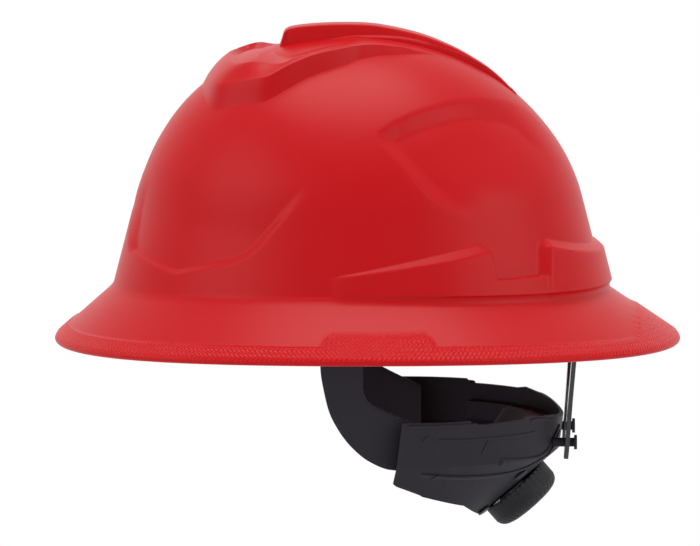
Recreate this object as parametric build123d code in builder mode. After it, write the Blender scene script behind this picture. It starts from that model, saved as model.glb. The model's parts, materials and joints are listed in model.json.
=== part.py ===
from build123d import *
from math import asin, atan2, cos, degrees, pi, radians, sin, sqrt, tan
import os

# Full brim hard hat with a four-point suspension and a ratchet nape adjuster.
# Millimetres. +Z is up, -Y is the brow, +Y is the nape and +X is the wearer's left.
# The origin is on the head axis, in the plane of the brim's front and rear edges.

# Shell: crown, a turned form narrowed from side to side
wall = 2.4
crown_length = 242.0
crown_width = 200.0
crown_height = 150.0
crown_foot = 27.0
crown_ease = 2.23
shoulder_step = 27.5
wall_lean = 14.4
panel_depth = 1.6
overrun = 20.0

# Shell: brim, a flare whose edge rises at the sides
brim_overhang = 34.0
brim_shift = 4.5
brim_side_overhang = 40.0
brim_front_slope = 41.8
brim_rear_slope = 34.4
brim_side_slope = 37.9
brim_arch = 6.0
brim_top = 36.0
brim_under = 10.0
band_raise = 0.8
band_rise = 5.0
patch_rise = 15.0
patch_length = 54.0
patch_centre = 9.0
patch_slant = 7.0
rear_patch = 24.0

# Shell: side views of the brow panel and of the rear scoops, as shares of half length and height
v_panel_shares = [(-0.88, 0.66), (-0.892, 0.524), (-0.942, 0.4), (-0.95, 0.318), (-0.898, 0.277)]
v_panel_shares += [(-0.782, 0.255), (-0.696, 0.284), (-0.512, 0.335), (-0.42, 0.4), (-0.2, 0.66)]
scoop_low_shares = [(0.03, 0.727), (0.254, 0.508), (0.372, 0.4), (0.5, 0.18), (1.2, 0.18)]
scoop_low_shares += [(1.2, 0.7), (0.694, 0.75)]
scoop_high_shares = [(0.694, 0.75), (0.595, 0.8), (0.463, 0.82), (0.29, 0.8), (0.03, 0.727)]

# Shell: crest, pan behind its lip, and centre fin
crest_raise = 9.5
crest_half_width = 53.0
crest_front = 82.0
crest_rear = 80.0
crest_root = 106.0
crest_taper = 12.0
pan_half_width = 140.0
pan_half_length = 115.0
pan_height = 151.8
pan_middle = 7.0
lip_front = 64.5
lip_half_width = 40.0
fin_front = 40.0
fin_rear = 68.0
fin_half_width = 6.5
fin_height = 155.0
fin_peak = 7.0
fin_arc = 130.0

# Shell: belt with side wedges, accessory pockets and the rear block
belt_proud = 2.4
belt_shift = 1.0
wedge_tip = 12.0
wedge_tip_height = 42.0
wedge_length = 70.5
wedge_height = 58.4
wedge_end = 66.5
pocket_floor = 40.0
pocket_end = 91.0
block_height = 58.3
block_rear_height = 48.0

# Keys, their sockets in the shell, and the crown straps
key_azimuth = 27.0
key_width = 24.0
key_depth = 10.0
key_height = 19.0
key_radius = 104.0
blade_width = 18.0
blade_thickness = 3.0
blade_height = 17.0
socket_wall = 2.4
seat_clearance = 0.3
strap_width = 19.0
strap_thickness = 1.4
strap_top = 116.0
strap_spring = 45.0
strap_tail = 16.0
post_radius = 3.5
post_head = 1.2
post_height = 12.0
post_head_radius = 5.0

# Headband, its arms down to the nape, and the brow pad
band_half_width = 78.0
band_half_length = 96.0
band_thickness = 2.0
band_height = 32.0
band_bottom = 0.0
band_end = 4.0
arm_lean = 10.2
arm_front = 19.0
arm_drop = 56.6
arm_end = 31.0
arm_end_height = -34.0
arm_bend_start = 3.0
arm_bend_angle = 49.0
arm_front_shares = [(-1, -0.04), (-0.9, -0.28), (-0.79, -0.45), (-0.5, -0.645), (-0.17, -0.79)]
arm_front_shares += [(0.26, -0.91), (0.83, -1)]
arm_rear_shares = [(1.2, -0.54), (0.65, -0.453), (0.17, -0.366), (0.095, -0.25), (0.095, 0.07)]
pad_thickness = 4.0
pad_half_angle = 58.0
pad_height = 36.0
pad_profile_shares = [(-0.5, 0.45), (-0.3, 1.0), (0.3, 1.0), (0.5, 0.45)]

# Nape unit: a leaning wall above a cone, both turned about one upright axis
nape_centre = 23.0
nape_radius = 79.0
nape_top = -31.0
nape_wall_lean = 7.0
cover_thickness = 2.0
knob_tilt = 49.0
knob_seat_radius = 53.6
knob_seat_height = -73.2
cone_low = 22.0
wing_front = 21.0
wing_dip = 2.0
wing_dip_start = 56.0
wing_dip_end = 83.0
wing_heel = 95.0
wing_drop = 7.0
wing_low_shares = [(0.46, 4), (0.455, 1.17), (0.36, 1.065), (0.1, 0.967), (-0.0253, 0.86)]
liner_gap = 3.4
liner_thickness = 1.8
liner_top = -41.0
liner_low = 17.0
liner_half_angle = 64.0
nape_pad_thickness = 6.0
nape_pad_half_angle = 42.0

# Ratchet: pinion between two racks, turned by the knob
tooth_module = 1.0
pinion_teeth = 10
rack_thickness = 2.5
rack_width = 7.0
rack_end_angle = 38.0
rack_nose_angle = 12.0
rack_play = 0.4
tooth_height = 1.9
tooth_sink = 0.6
tooth_inset = 0.2
tooth_base = 0.88
tooth_tip = 0.35
pinion_core_radius = 3.86
pinion_tooth_root = 3.5
pinion_tooth_end = 5.75
shaft_radius = 3.0
shaft_clearance = 0.25
shaft_grip = 4.3
clip_radius = 5.6
clip_thickness = 0.8
knob_radius = 18.5
knob_height = 13.0
knob_wall = 2.2
knob_crown = 2.4
knob_flat_share = 0.72
knob_round_shares = (0.9, 0.855)
knob_serrations = 36
serration_size = 1.0
serration_turn = 45.0
hub_radius = 6.0
boss_radius = 10.0
boss_height = 3.0
spring_thickness = 0.9
spring_height = 2.4
spring_gap_angle = 50.0
rivet_radius = 2.0
rivet_head_radius = 3.4
rivet_head = 1.0
rivet_angle = 30.0
rivet_low_angle = 24.0

# Hangers from the rear keys to the nape unit
hanger_pin_y = 106.5
hanger_pin_z = 10.0
hanger_pin_x = 40.0
hanger_pin_radius = 1.5
hanger_eye_radius = 3.6
hanger_width = 11.0
hanger_thickness = 2.2
hanger_foot_x = 27.0
hanger_foot_y = 102.3
hanger_foot_z = -48.0
hanger_tail = 8.0
peg_radius = 2.2
peg_head_radius = 3.6
peg_head = 1.4
peg_head_gap = 2.3
peg_root_drop = 6.0
slot_travel = 7.0
slot_drop = 2.5
hanger_bend_depth = 36.0
lug_thickness = 2.6

half_length = crown_length / 2
brim_length = crown_length + 2 * brim_overhang
width_ratio = crown_width / crown_length
front_edge = brim_length / 2 - brim_shift
rear_edge = brim_length / 2 + brim_shift
reach = brim_length

# Crown arc: just wide of the circle that touches both the apex height and the leaning wall
wall_reach = half_length * cos(radians(wall_lean)) - (crown_height - crown_foot) * sin(radians(wall_lean))
crown_radius = wall_reach / (1 - sin(radians(wall_lean))) + crown_ease
shoulder_radius = crown_radius - shoulder_step


def crown_form(growth, foot_growth=0.0):
    """Solid crown: leaning wall, shoulder arc and crown arc turned about the head axis, then narrowed."""
    lean = radians(wall_lean)
    centre = crown_height - crown_radius
    foot = half_length + foot_growth
    level = foot * cos(lean) + crown_foot * sin(lean) - shoulder_radius - centre * sin(lean)
    joint = asin(level / shoulder_step) - lean
    middle = (joint + pi / 2 - lean) / 2
    shoulder = (shoulder_step * sin(joint), centre + shoulder_step * cos(joint))
    outer = crown_radius + growth
    bend = shoulder_radius + growth
    low = (shoulder[0] + bend * cos(lean), shoulder[1] + bend * sin(lean))
    base = crown_foot - brim_under
    with BuildPart() as turned:
        with BuildSketch(Plane.XZ):
            with BuildLine():
                Line((0, base), (low[0] + (low[1] - base) * tan(lean), base))
                Line((low[0] + (low[1] - base) * tan(lean), base), low)
                ThreePointArc(
                    low,
                    (shoulder[0] + bend * sin(middle), shoulder[1] + bend * cos(middle)),
                    (outer * sin(joint), centre + outer * cos(joint)),
                )
                ThreePointArc(
                    (outer * sin(joint), centre + outer * cos(joint)),
                    (outer * sin(joint / 2), centre + outer * cos(joint / 2)),
                    (0, centre + outer),
                )
                Line((0, centre + outer), (0, base))
            make_face()
        revolve(axis=Axis.Z)
    return scale(turned.part, by=(width_ratio, 1, 1))


def flare(drop):
    """Solid brim flare between two ellipses, lowered by drop."""
    with BuildPart() as bell:
        for height in (-brim_under, brim_top):
            front = -front_edge + height / tan(radians(brim_front_slope))
            rear = rear_edge - height / tan(radians(brim_rear_slope))
            side = crown_width / 2 + brim_side_overhang - height / tan(radians(brim_side_slope))
            with BuildSketch(Plane.XY.offset(height - drop)):
                with Locations((0, (front + rear) / 2)):
                    Ellipse(side, (rear - front) / 2)
        loft()
    return bell.part


def side_prism(points):
    """Prism across the hat with an outline drawn in the side view."""
    with BuildPart() as prism:
        with BuildSketch(Plane.YZ):
            with BuildLine():
                Polyline(*points, close=True)
            make_face()
        extrude(amount=reach, both=True)
    return prism.part


def edge_zone(rise):
    """Prism between the brim's arched edge, raised by rise, and well below it."""
    with BuildPart() as zone:
        with BuildSketch(Plane.YZ):
            with BuildLine():
                ThreePointArc((-front_edge, rise), (brim_shift, brim_arch + rise), (rear_edge, rise))
                Polyline(
                    (rear_edge, rise),
                    (reach, rise),
                    (reach, -brim_top),
                    (-reach, -brim_top),
                    (-reach, rise),
                    (-front_edge, rise),
                )
            make_face()
        extrude(amount=reach, both=True)
    return zone.part


def radial_plane(azimuth, height):
    """Level plane whose y runs outward at an azimuth measured from +Y towards +X."""
    angle = radians(azimuth)
    return Plane(origin=(0, 0, height), x_dir=(cos(angle), -sin(angle), 0), z_dir=(0, 0, 1))


def upright_plane(azimuth, shift=0.0):
    """Upright plane through the head axis: x runs outward at the azimuth and y runs up."""
    angle = radians(azimuth)
    across = Vector(cos(angle), -sin(angle), 0)
    return Plane(origin=across * shift, x_dir=(sin(angle), cos(angle), 0), z_dir=across)


key_places = {
    "front_left_key": 180 - key_azimuth,
    "front_right_key": key_azimuth - 180,
    "rear_left_key": key_azimuth,
    "rear_right_key": -key_azimuth,
}

# Shell
v_panel = side_prism([(y * half_length, z * crown_height) for y, z in v_panel_shares])
scoop_low = [(y * half_length, z * crown_height) for y, z in scoop_low_shares]
scoop_high = [(y * half_length, z * crown_height) for y, z in scoop_high_shares]
with BuildPart() as scoop_panel:
    with BuildSketch(Plane.YZ):
        with BuildLine():
            Polyline(*scoop_low)
            Spline(*scoop_high)
        make_face()
    extrude(amount=reach, both=True)


def panelled_crown(inset):
    """Crown with its side panels set back, shrunk by inset."""
    slim = crown_form(-panel_depth / 2 - inset, -panel_depth / 2)
    return (crown_form(-inset) - v_panel - scoop_panel.part) + slim


# Plan outlines of the crest and of the pan in its top, as shares of their half width and length
crest_shares = [(0, -1), (0.42, -0.976), (0.68, -0.915), (0.755, -0.878), (0.868, -0.738), (0.972, -0.61)]
crest_shares += [(1, -0.524), (0.99, -0.427), (0.915, -0.256), (0.85, -0.078)]
crest_tail_shares = [(0.745, 0.129), (0.64, 0.275), (0.53, 0.425), (0.405, 0.625), (0.29, 0.81)]
crest_tail_shares += [(0.17, 0.95), (0, 1)]
lip_shares = [(0, -1), (0.75, -0.87), (1, -0.45), (1.05, -0.15), (1.6, 0), (1.6, 2), (0, 2)]


def plan_prism(points, inset, taper):
    """Upright prism over half a plan outline and its mirror image, shrunk by inset."""
    with BuildPart() as prism:
        with BuildSketch(Plane.XY.offset(crest_root)):
            with BuildLine():
                Polyline(*points, close=True)
            make_face()
            mirror(about=Plane.YZ)
            if inset > 0:
                offset(amount=-inset, kind=Kind.INTERSECTION)
        extrude(amount=crown_height - crest_root + overrun, taper=taper)
    return prism.part


def pan_form(inset):
    """Wide shallow dome that makes the floor of the pan and the crest's rear slope."""
    with BuildPart() as ball:
        with BuildSketch(Plane.XZ):
            with BuildLine():
                CenterArc((0, 0), pan_half_length, 0, 90)
                Polyline((0, pan_half_length), (0, -overrun), (pan_half_length, -overrun), (pan_half_length, 0))
            make_face()
        revolve(axis=Axis.Z)
    rise_share = (pan_height - crown_foot - inset) / pan_half_length
    floor = scale(ball.part, by=(pan_half_width / pan_half_length, 1, rise_share))
    return floor.moved(Location((0, pan_middle, crown_foot)))


def crest_form(inset):
    """Raised crest: a tapered prism under a grown crown, with the pan cut down to its floor."""
    points = [(x * crest_half_width, y * crest_front) for x, y in crest_shares]
    points += [(x * crest_half_width, y * crest_rear) for x, y in crest_tail_shares]
    lip_points = [(x * lip_half_width, y * lip_front) for x, y in lip_shares]
    block = plan_prism(points, inset, crest_taper) & crown_form(crest_raise - inset)
    return block - (plan_prism(lip_points, 0, 0) - pan_form(inset))


def fin_form(inset):
    """Centre fin: steep in front, fading along an arc to the rear."""
    drop_front = fin_height - (fin_front - fin_peak) ** 2 / 2 / fin_arc
    drop_rear = fin_height - (fin_rear + fin_peak) ** 2 / 2 / fin_arc
    with BuildPart() as fin:
        with BuildSketch(Plane.YZ.offset(inset - fin_half_width)):
            with BuildLine():
                ThreePointArc(
                    (-fin_front + band_rise, drop_front - inset),
                    (-fin_peak, fin_height - inset),
                    (fin_rear, drop_rear - inset),
                )
                Polyline(
                    (fin_rear, drop_rear - inset),
                    (fin_rear, drop_rear - overrun),
                    (-fin_front + inset, drop_front - overrun),
                    (-fin_front + inset, drop_front - crest_raise),
                    (-fin_front + band_rise, drop_front - inset),
                )
            make_face()
        extrude(amount=2 * (fin_half_width - inset))
    return fin.part


belt_zone = side_prism(
    [
        (-wedge_tip, wedge_tip_height),
        (wedge_length - wedge_tip, wedge_height),
        (wedge_end, pocket_floor),
        (pocket_end, pocket_floor),
        (pocket_end, block_height),
        (half_length, block_rear_height),
        (half_length + overrun, block_rear_height - band_rise),
        (half_length + overrun, crown_foot - brim_under),
        (-wedge_tip, crown_foot - brim_under),
    ]
)
belt = belt_zone & crown_form(belt_proud).moved(Location((0, belt_shift, 0)))

patch_half = patch_length / 2
side_patch = side_prism(
    [
        (patch_centre - patch_half, -brim_under),
        (patch_centre - patch_half + patch_slant, brim_arch + patch_rise),
        (patch_centre + patch_half - patch_slant, brim_arch + patch_rise),
        (patch_centre + patch_half, -brim_under),
    ]
)
rear_patch_zone = side_prism(
    [
        (rear_edge - rear_patch, -brim_under),
        (rear_edge - rear_patch, brim_top),
        (rear_edge + overrun, brim_top),
        (rear_edge + overrun, -brim_under),
    ]
)
band_zone = edge_zone(band_rise) + side_patch + rear_patch_zone
edge_band = flare(-band_raise) & band_zone

socket_low = crown_foot - seat_clearance
socket_inner = key_radius - blade_thickness / 2 - socket_wall
with BuildPart() as sockets:
    for azimuth in key_places.values():
        with BuildSketch(radial_plane(azimuth, socket_low)):
            with Locations((0, socket_inner + overrun / 2)):
                Rectangle(blade_width + 2 * socket_wall, overrun)
        extrude(amount=blade_height + socket_wall)
with BuildPart() as socket_slots:
    for azimuth in key_places.values():
        with BuildSketch(radial_plane(azimuth, socket_low - socket_wall)):
            with Locations((0, key_radius)):
                Rectangle(blade_width + 2 * seat_clearance, blade_thickness + 2 * seat_clearance)
        extrude(amount=blade_height + socket_wall + seat_clearance)
socket_blocks = sockets.part & crown_form(-wall / 2)

brim_drop = wall / cos(radians(brim_side_slope))
outer_forms = [panelled_crown(0), crest_form(0), fin_form(0), belt, flare(0), edge_band]
inner_forms = [panelled_crown(wall), crest_form(wall), fin_form(wall), flare(brim_drop)]
below_edge = edge_zone(0)
with BuildPart() as hollow:
    for form in inner_forms:
        add(form)
with BuildPart() as shell:
    for form in outer_forms:
        add(form)
    add(hollow.part, mode=Mode.SUBTRACT)
    add(socket_blocks)
    add(socket_slots.part, mode=Mode.SUBTRACT)
    add(below_edge, mode=Mode.SUBTRACT)
shell.part.label = "shell"

# Keys: a blade up into the socket, a body with a strap slot, and a post for the headband
body_inner = key_radius + blade_thickness / 2 - key_depth
strap_radius = body_inner + socket_wall + strap_thickness / 2
key_bottom = socket_low - seat_clearance - key_height
band_at_key = 1 / sqrt(
    (sin(radians(key_azimuth)) / (band_half_width + band_thickness / 2)) ** 2
    + (cos(radians(key_azimuth)) / (band_half_length + band_thickness / 2)) ** 2
)
keys = {}
for key_name, azimuth in key_places.items():
    with BuildPart() as key:
        with BuildSketch(radial_plane(azimuth, key_bottom)):
            with Locations((0, body_inner + key_depth / 2)):
                Rectangle(key_width, key_depth)
        extrude(amount=key_height)
        fillet(key.edges().filter_by(Axis.Z), radius=socket_wall)
        with BuildSketch(radial_plane(azimuth, key_bottom)):
            with Locations((0, strap_radius)):
                Rectangle(strap_width + 2 * seat_clearance, strap_thickness + 2 * seat_clearance)
        extrude(amount=key_height, mode=Mode.SUBTRACT)
        with BuildSketch(radial_plane(azimuth, key_bottom + key_height)):
            with Locations((0, key_radius)):
                Rectangle(blade_width, blade_thickness)
        extrude(amount=blade_height)
        post_root = body_inner + socket_wall / 2
        post_inner = band_at_key - 2 * band_thickness - seat_clearance
        angle = radians(azimuth)
        out = Vector(sin(angle), cos(angle), 0)
        with BuildSketch(Plane(origin=out * post_root + Vector(0, 0, post_height), z_dir=out * -1)):
            Circle(post_radius)
        extrude(amount=post_root - post_inner)
        with BuildSketch(Plane(origin=out * post_inner + Vector(0, 0, post_height), z_dir=out * -1)):
            Circle(post_head_radius)
        extrude(amount=post_head)
        if key_name.startswith("rear"):
            side = 1 if azimuth > 0 else -1
            for offset_side in (-1, 1):
                lug_middle = hanger_width / 2 + seat_clearance + lug_thickness / 2
                lug_x = side * hanger_pin_x + offset_side * lug_middle
                with BuildSketch(Plane.YZ.offset(lug_x - lug_thickness / 2)):
                    with BuildLine():
                        root_y = key_radius * cos(angle) - key_depth / 2
                        Polyline(
                            (root_y, hanger_pin_z + hanger_eye_radius),
                            (hanger_pin_y, hanger_pin_z + hanger_eye_radius),
                            (hanger_pin_y, hanger_pin_z - hanger_eye_radius),
                            (root_y, hanger_pin_z - hanger_eye_radius),
                            close=True,
                        )
                    make_face()
                    with Locations((hanger_pin_y, hanger_pin_z)):
                        Circle(hanger_eye_radius)
                        Circle(hanger_pin_radius + shaft_clearance, mode=Mode.SUBTRACT)
                extrude(amount=lug_thickness)
            with BuildSketch(radial_plane(azimuth, key_bottom)):
                with Locations((0, strap_radius)):
                    Rectangle(strap_width + 2 * seat_clearance, strap_thickness + 2 * seat_clearance)
            extrude(amount=key_height, mode=Mode.SUBTRACT)
    key.part.label = key_name
    keys[key_name] = key.part

# Crown straps: two woven straps that cross under the crown, each tail down through its keys
crown_straps = {}
for strap_name, azimuth, lift in (
    ("left_crown_strap", 180 - key_azimuth, 0),
    ("right_crown_strap", key_azimuth - 180, strap_thickness + 2 * seat_clearance),
):
    with BuildPart() as strap:
        with BuildSketch(upright_plane(azimuth)):
            with BuildLine():
                tail = strap_spring - strap_tail - key_height
                outer_r = strap_radius + strap_thickness / 2
                inner_r = strap_radius - strap_thickness / 2
                rise = strap_top + lift - strap_spring
                EllipticalCenterArc((0, strap_spring), outer_r, rise, start_angle=0, arc_size=180)
                Line((-outer_r, strap_spring), (-outer_r, tail))
                Line((-outer_r, tail), (-inner_r, tail))
                Line((-inner_r, tail), (-inner_r, strap_spring))
                EllipticalCenterArc(
                    (0, strap_spring), inner_r, rise - strap_thickness, start_angle=0, arc_size=180
                )
                Line((inner_r, strap_spring), (inner_r, tail))
                Line((inner_r, tail), (outer_r, tail))
                Line((outer_r, tail), (outer_r, strap_spring))
            make_face()
        extrude(amount=strap_width / 2, both=True)
    strap.part.label = strap_name
    crown_straps[strap_name] = strap.part

# Headband: an oval front band whose two arms drop and turn back into the nape unit
lean_slope = tan(radians(arm_lean))
arm_points = [(-arm_front, band_bottom + pad_thickness)]
arm_points += [(y * arm_front, z * arm_drop) for y, z in arm_front_shares]
arm_points += [(arm_end, -arm_drop), (arm_end, arm_end_height)]
arm_points += [(y * arm_front, z * arm_drop) for y, z in arm_rear_shares]
arm_outline = side_prism(arm_points)
with BuildPart() as arm_wall:
    with BuildSketch(Plane.XZ.offset(-arm_bend_start)):
        with BuildLine():
            arm_inner = band_half_width - band_thickness / 2
            arm_outer = band_half_width + band_thickness / 2
            arm_foot = lean_slope * (arm_drop + overrun)
            Polyline(
                (arm_inner, band_bottom),
                (arm_inner, band_height / 2),
                (arm_outer, band_height / 2),
                (arm_outer, band_bottom),
                (arm_outer - arm_foot, -arm_drop - overrun),
                (arm_inner - arm_foot, -arm_drop - overrun),
                close=True,
            )
        make_face()
    extrude(amount=arm_front + arm_bend_start + overrun)
    arm_axis = Axis((0, arm_bend_start, 0), (0, 0, 1))
    bend_start = arm_wall.faces().sort_by(Axis.Y)[-1]
    revolve(bend_start, axis=arm_axis, revolution_arc=arm_bend_angle)
left_arm = arm_wall.part & arm_outline
with BuildPart() as headband:
    with BuildSketch(Plane.XY.offset(band_bottom)):
        Ellipse(band_half_width + band_thickness / 2, band_half_length + band_thickness / 2)
        Ellipse(
            band_half_width - band_thickness / 2,
            band_half_length - band_thickness / 2,
            mode=Mode.SUBTRACT,
        )
        with Locations((0, band_end + band_half_length)):
            Rectangle(2 * reach, 2 * band_half_length, mode=Mode.SUBTRACT)
    extrude(amount=band_height)
    add(left_arm)
    add(mirror(left_arm, about=Plane.YZ))
    for azimuth in (180 - key_azimuth, key_azimuth - 180):
        angle = radians(azimuth)
        out = Vector(sin(angle), cos(angle), 0)
        with BuildSketch(Plane(origin=out * body_inner + Vector(0, 0, post_height), z_dir=out * -1)):
            Circle(post_radius + seat_clearance)
        extrude(amount=overrun, mode=Mode.SUBTRACT)
headband.part.label = "headband"

# Brow pad: a soft strip inside the front of the headband, crowned towards the forehead
pad_outer_x = band_half_width - band_thickness / 2 - seat_clearance
pad_outer_y = band_half_length - band_thickness / 2 - seat_clearance
pad_middle = band_bottom + band_height / 2
with BuildPart() as brow_pad:
    for rise, inset in pad_profile_shares:
        with BuildSketch(Plane.XY.offset(pad_middle + rise * pad_height)):
            Ellipse(pad_outer_x - inset * pad_thickness, pad_outer_y - inset * pad_thickness)
    loft(ruled=True)
pad_core = brow_pad.part
with BuildPart() as brow_pad:
    with BuildSketch(Plane.XY.offset(pad_middle - pad_height / 2)):
        Ellipse(pad_outer_x, pad_outer_y)
    extrude(amount=pad_height)
    add(pad_core, mode=Mode.SUBTRACT)
    with BuildSketch(Plane.XY.offset(pad_middle - pad_height)):
        with BuildLine():
            edge_x = reach * sin(radians(pad_half_angle))
            edge_y = -reach * cos(radians(pad_half_angle))
            Polyline((0, 0), (edge_x, edge_y), (0, -2 * reach), (-edge_x, edge_y), close=True)
        make_face()
    extrude(amount=2 * pad_height, mode=Mode.INTERSECT)
    for azimuth in (180 - key_azimuth, key_azimuth - 180):
        angle = radians(azimuth)
        out = Vector(sin(angle), cos(angle), 0)
        with BuildSketch(Plane(origin=out * body_inner + Vector(0, 0, post_height), z_dir=out * -1)):
            Circle(post_head_radius + seat_clearance)
        extrude(amount=overrun, mode=Mode.SUBTRACT)
brow_pad.part.label = "brow_pad"

# Nape unit: layers are offset along the knob's axis from the cone under the knob
tilt = radians(knob_tilt)
nape_axis = Axis((0, nape_centre, 0), (0, 0, 1))
wall_slope = tan(radians(nape_wall_lean))


def cone_point(slant, depth):
    """Point of a nape section: slant up the cone from the knob's axis, depth out along that axis."""
    return (
        knob_seat_radius + slant * sin(tilt) + depth * cos(tilt),
        knob_seat_height + slant * cos(tilt) - depth * sin(tilt),
    )


def wall_radius(depth, height):
    """Radius of the leaning nape wall at a height, offset by depth."""
    return nape_radius + depth / cos(radians(nape_wall_lean)) + wall_slope * (height - nape_top)


def nape_corner(depth):
    """Point where the leaning wall meets the cone, both offset by depth."""
    at_seat = knob_seat_radius + depth / cos(tilt) - tan(tilt) * knob_seat_height
    at_wall = nape_radius + depth / cos(radians(nape_wall_lean)) - wall_slope * nape_top
    height = (at_seat - at_wall) / (wall_slope - tan(tilt))
    return (wall_radius(depth, height), height)


def nape_section(outer, inner, top, low):
    """Closed section of one nape layer, from a level top edge down to slant low on the cone."""
    return [
        (wall_radius(outer, top), top),
        nape_corner(outer),
        cone_point(-low, outer),
        cone_point(-low, inner),
        nape_corner(inner),
        (wall_radius(inner, top), top),
    ]


def turned_layer(points, start, end):
    """Solid of a nape section turned about the nape axis between two azimuths from +Y to +X."""
    with BuildPart() as layer:
        heel = Plane(
            origin=(0, nape_centre, 0),
            x_dir=(sin(radians(end)), cos(radians(end)), 0),
            z_dir=(cos(radians(end)), -sin(radians(end)), 0),
        )
        with BuildSketch(heel):
            with BuildLine():
                Polyline(*points, close=True)
            make_face()
        revolve(axis=nape_axis, revolution_arc=end - start)
    return layer.part


def knob_plane(depth):
    """Plane square to the knob's axis at a depth, with x along +X and y down the cone."""
    radius, height = cone_point(0, depth)
    return Plane(
        origin=(0, nape_centre + radius, height),
        x_dir=(1, 0, 0),
        z_dir=(0, cos(tilt), -sin(tilt)),
    )


cover_outer = -seat_clearance
cover_inner = cover_outer - cover_thickness
liner_outer = cover_inner - liner_gap
liner_inner = liner_outer - liner_thickness
wing_points = [
    (wing_front, nape_top),
    (wing_dip_start - wing_dip, nape_top),
    (wing_dip_start, nape_top - wing_dip),
    (wing_dip_end - 2 * wing_dip, nape_top - wing_dip),
    (wing_dip_end, nape_top - wing_dip / 2),
    (wing_heel, nape_top - wing_drop / 2),
    (nape_centre + nape_radius, nape_top - wing_drop),
    (reach, nape_top - wing_drop),
    (reach, -reach),
]
wing_points += [(nape_centre + y * nape_radius, z * knob_seat_height) for y, z in wing_low_shares]
wing_outline = side_prism(wing_points)
cover_section = nape_section(cover_outer, cover_inner, nape_top + wing_dip, cone_low)
half_cover = turned_layer(cover_section, 0, 90)
with BuildPart() as wing_end:
    with BuildSketch(Plane.XZ.offset(-nape_centre)):
        with BuildLine():
            Polyline(*cover_section, close=True)
        make_face()
    extrude(amount=nape_centre - wing_front)
half_wing = half_cover + wing_end.part
rivet_slant = liner_low - rivet_head_radius / 2
rivet_places = []
for side in (-1, 1):
    rivet_places += [(side * rivet_angle, rivet_slant), (side * rivet_low_angle, -rivet_slant)]


def cone_plane(azimuth, slant, depth):
    """Plane square to the cone at an azimuth, slant and depth, with x along the racks' travel."""
    radius, height = cone_point(slant, depth)
    angle = radians(azimuth)
    return Plane(
        origin=(radius * sin(angle), nape_centre + radius * cos(angle), height),
        x_dir=(cos(angle), -sin(angle), 0),
        z_dir=(cos(tilt) * sin(angle), cos(tilt) * cos(angle), -sin(tilt)),
    )


peg_root_y = hanger_foot_y - hanger_thickness / 2 - peg_root_drop
peg_head_y = hanger_foot_y + hanger_thickness / 2 + peg_head_gap
with BuildPart() as nape_housing:
    add(half_wing & wing_outline)
    mirror(about=Plane.YZ)
    with BuildSketch(knob_plane(cover_outer - cover_thickness / 2)):
        Circle(boss_radius)
    extrude(amount=boss_height + cover_thickness / 2)
    with BuildSketch(knob_plane(cover_inner - seat_clearance)):
        Circle(shaft_radius + shaft_clearance)
    extrude(amount=cover_thickness + boss_height + 2 * seat_clearance, mode=Mode.SUBTRACT)
    for azimuth, slant in rivet_places:
        with BuildSketch(cone_plane(azimuth, slant, cover_inner - liner_gap)):
            Circle(rivet_radius + shaft_clearance)
        extrude(amount=liner_gap + 2 * cover_thickness, mode=Mode.SUBTRACT)
    for side in (-1, 1):
        with BuildSketch(Plane.XZ.offset(-peg_root_y)):
            with Locations((side * hanger_foot_x, hanger_foot_z)):
                Circle(peg_radius)
        extrude(amount=-(peg_head_y - peg_root_y))
        with BuildSketch(Plane.XZ.offset(-peg_head_y)):
            with Locations((side * hanger_foot_x, hanger_foot_z)):
                Circle(peg_head_radius)
        extrude(amount=-peg_head)
nape_housing.part.label = "nape_housing"

top_low = liner_top - liner_thickness
lip_out = cover_inner - seat_clearance
lip_foot = -liner_low + liner_thickness
liner_section = [
    (wall_radius(lip_out, liner_top), liner_top),
    (wall_radius(lip_out, top_low), top_low),
    (wall_radius(liner_outer, top_low), top_low),
    nape_corner(liner_outer),
    cone_point(lip_foot, liner_outer),
    cone_point(lip_foot, lip_out),
    cone_point(-liner_low, lip_out),
    cone_point(-liner_low, liner_inner),
    nape_corner(liner_inner),
    (wall_radius(liner_inner, liner_top), liner_top),
]
liner_wall = turned_layer(liner_section, -liner_half_angle, liner_half_angle)
liner_outline = wing_outline.moved(Location((0, liner_gap, liner_thickness)))
with BuildPart() as nape_liner:
    add(liner_wall & liner_outline)
    with BuildSketch(knob_plane(liner_inner - seat_clearance)):
        Circle(shaft_radius + shaft_clearance)
    extrude(amount=liner_thickness + 2 * seat_clearance, mode=Mode.SUBTRACT)
    for azimuth, slant in rivet_places:
        with BuildSketch(cone_plane(azimuth, slant, liner_inner - liner_gap)):
            Circle(rivet_radius + shaft_clearance)
        extrude(amount=2 * liner_gap + liner_thickness, mode=Mode.SUBTRACT)
nape_liner.part.label = "nape_liner"

with BuildPart() as housing_rivets:
    for azimuth, slant in rivet_places:
        with BuildSketch(cone_plane(azimuth, slant, liner_inner - seat_clearance)):
            Circle(rivet_radius)
        extrude(amount=cover_outer - liner_inner + 2 * seat_clearance)
        with BuildSketch(cone_plane(azimuth, slant, cover_outer + seat_clearance)):
            Circle(rivet_head_radius)
        extrude(amount=rivet_head)
        with BuildSketch(cone_plane(azimuth, slant, liner_inner - seat_clearance - rivet_head)):
            Circle(rivet_head_radius)
        extrude(amount=rivet_head)
housing_rivets.part.label = "housing_rivets"

pad_outer = liner_inner - seat_clearance - rivet_head - seat_clearance
pad_section = nape_section(pad_outer, pad_outer - nape_pad_thickness, liner_top, liner_low - wing_dip)
pad_wall = turned_layer(pad_section, -nape_pad_half_angle, nape_pad_half_angle)
with BuildPart() as nape_pad:
    add(pad_wall)
    with BuildSketch(knob_plane(pad_outer - 2 * nape_pad_thickness)):
        Circle(clip_radius + cover_thickness)
    extrude(amount=3 * nape_pad_thickness, mode=Mode.SUBTRACT)
nape_pad.part.label = "nape_pad"

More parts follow.
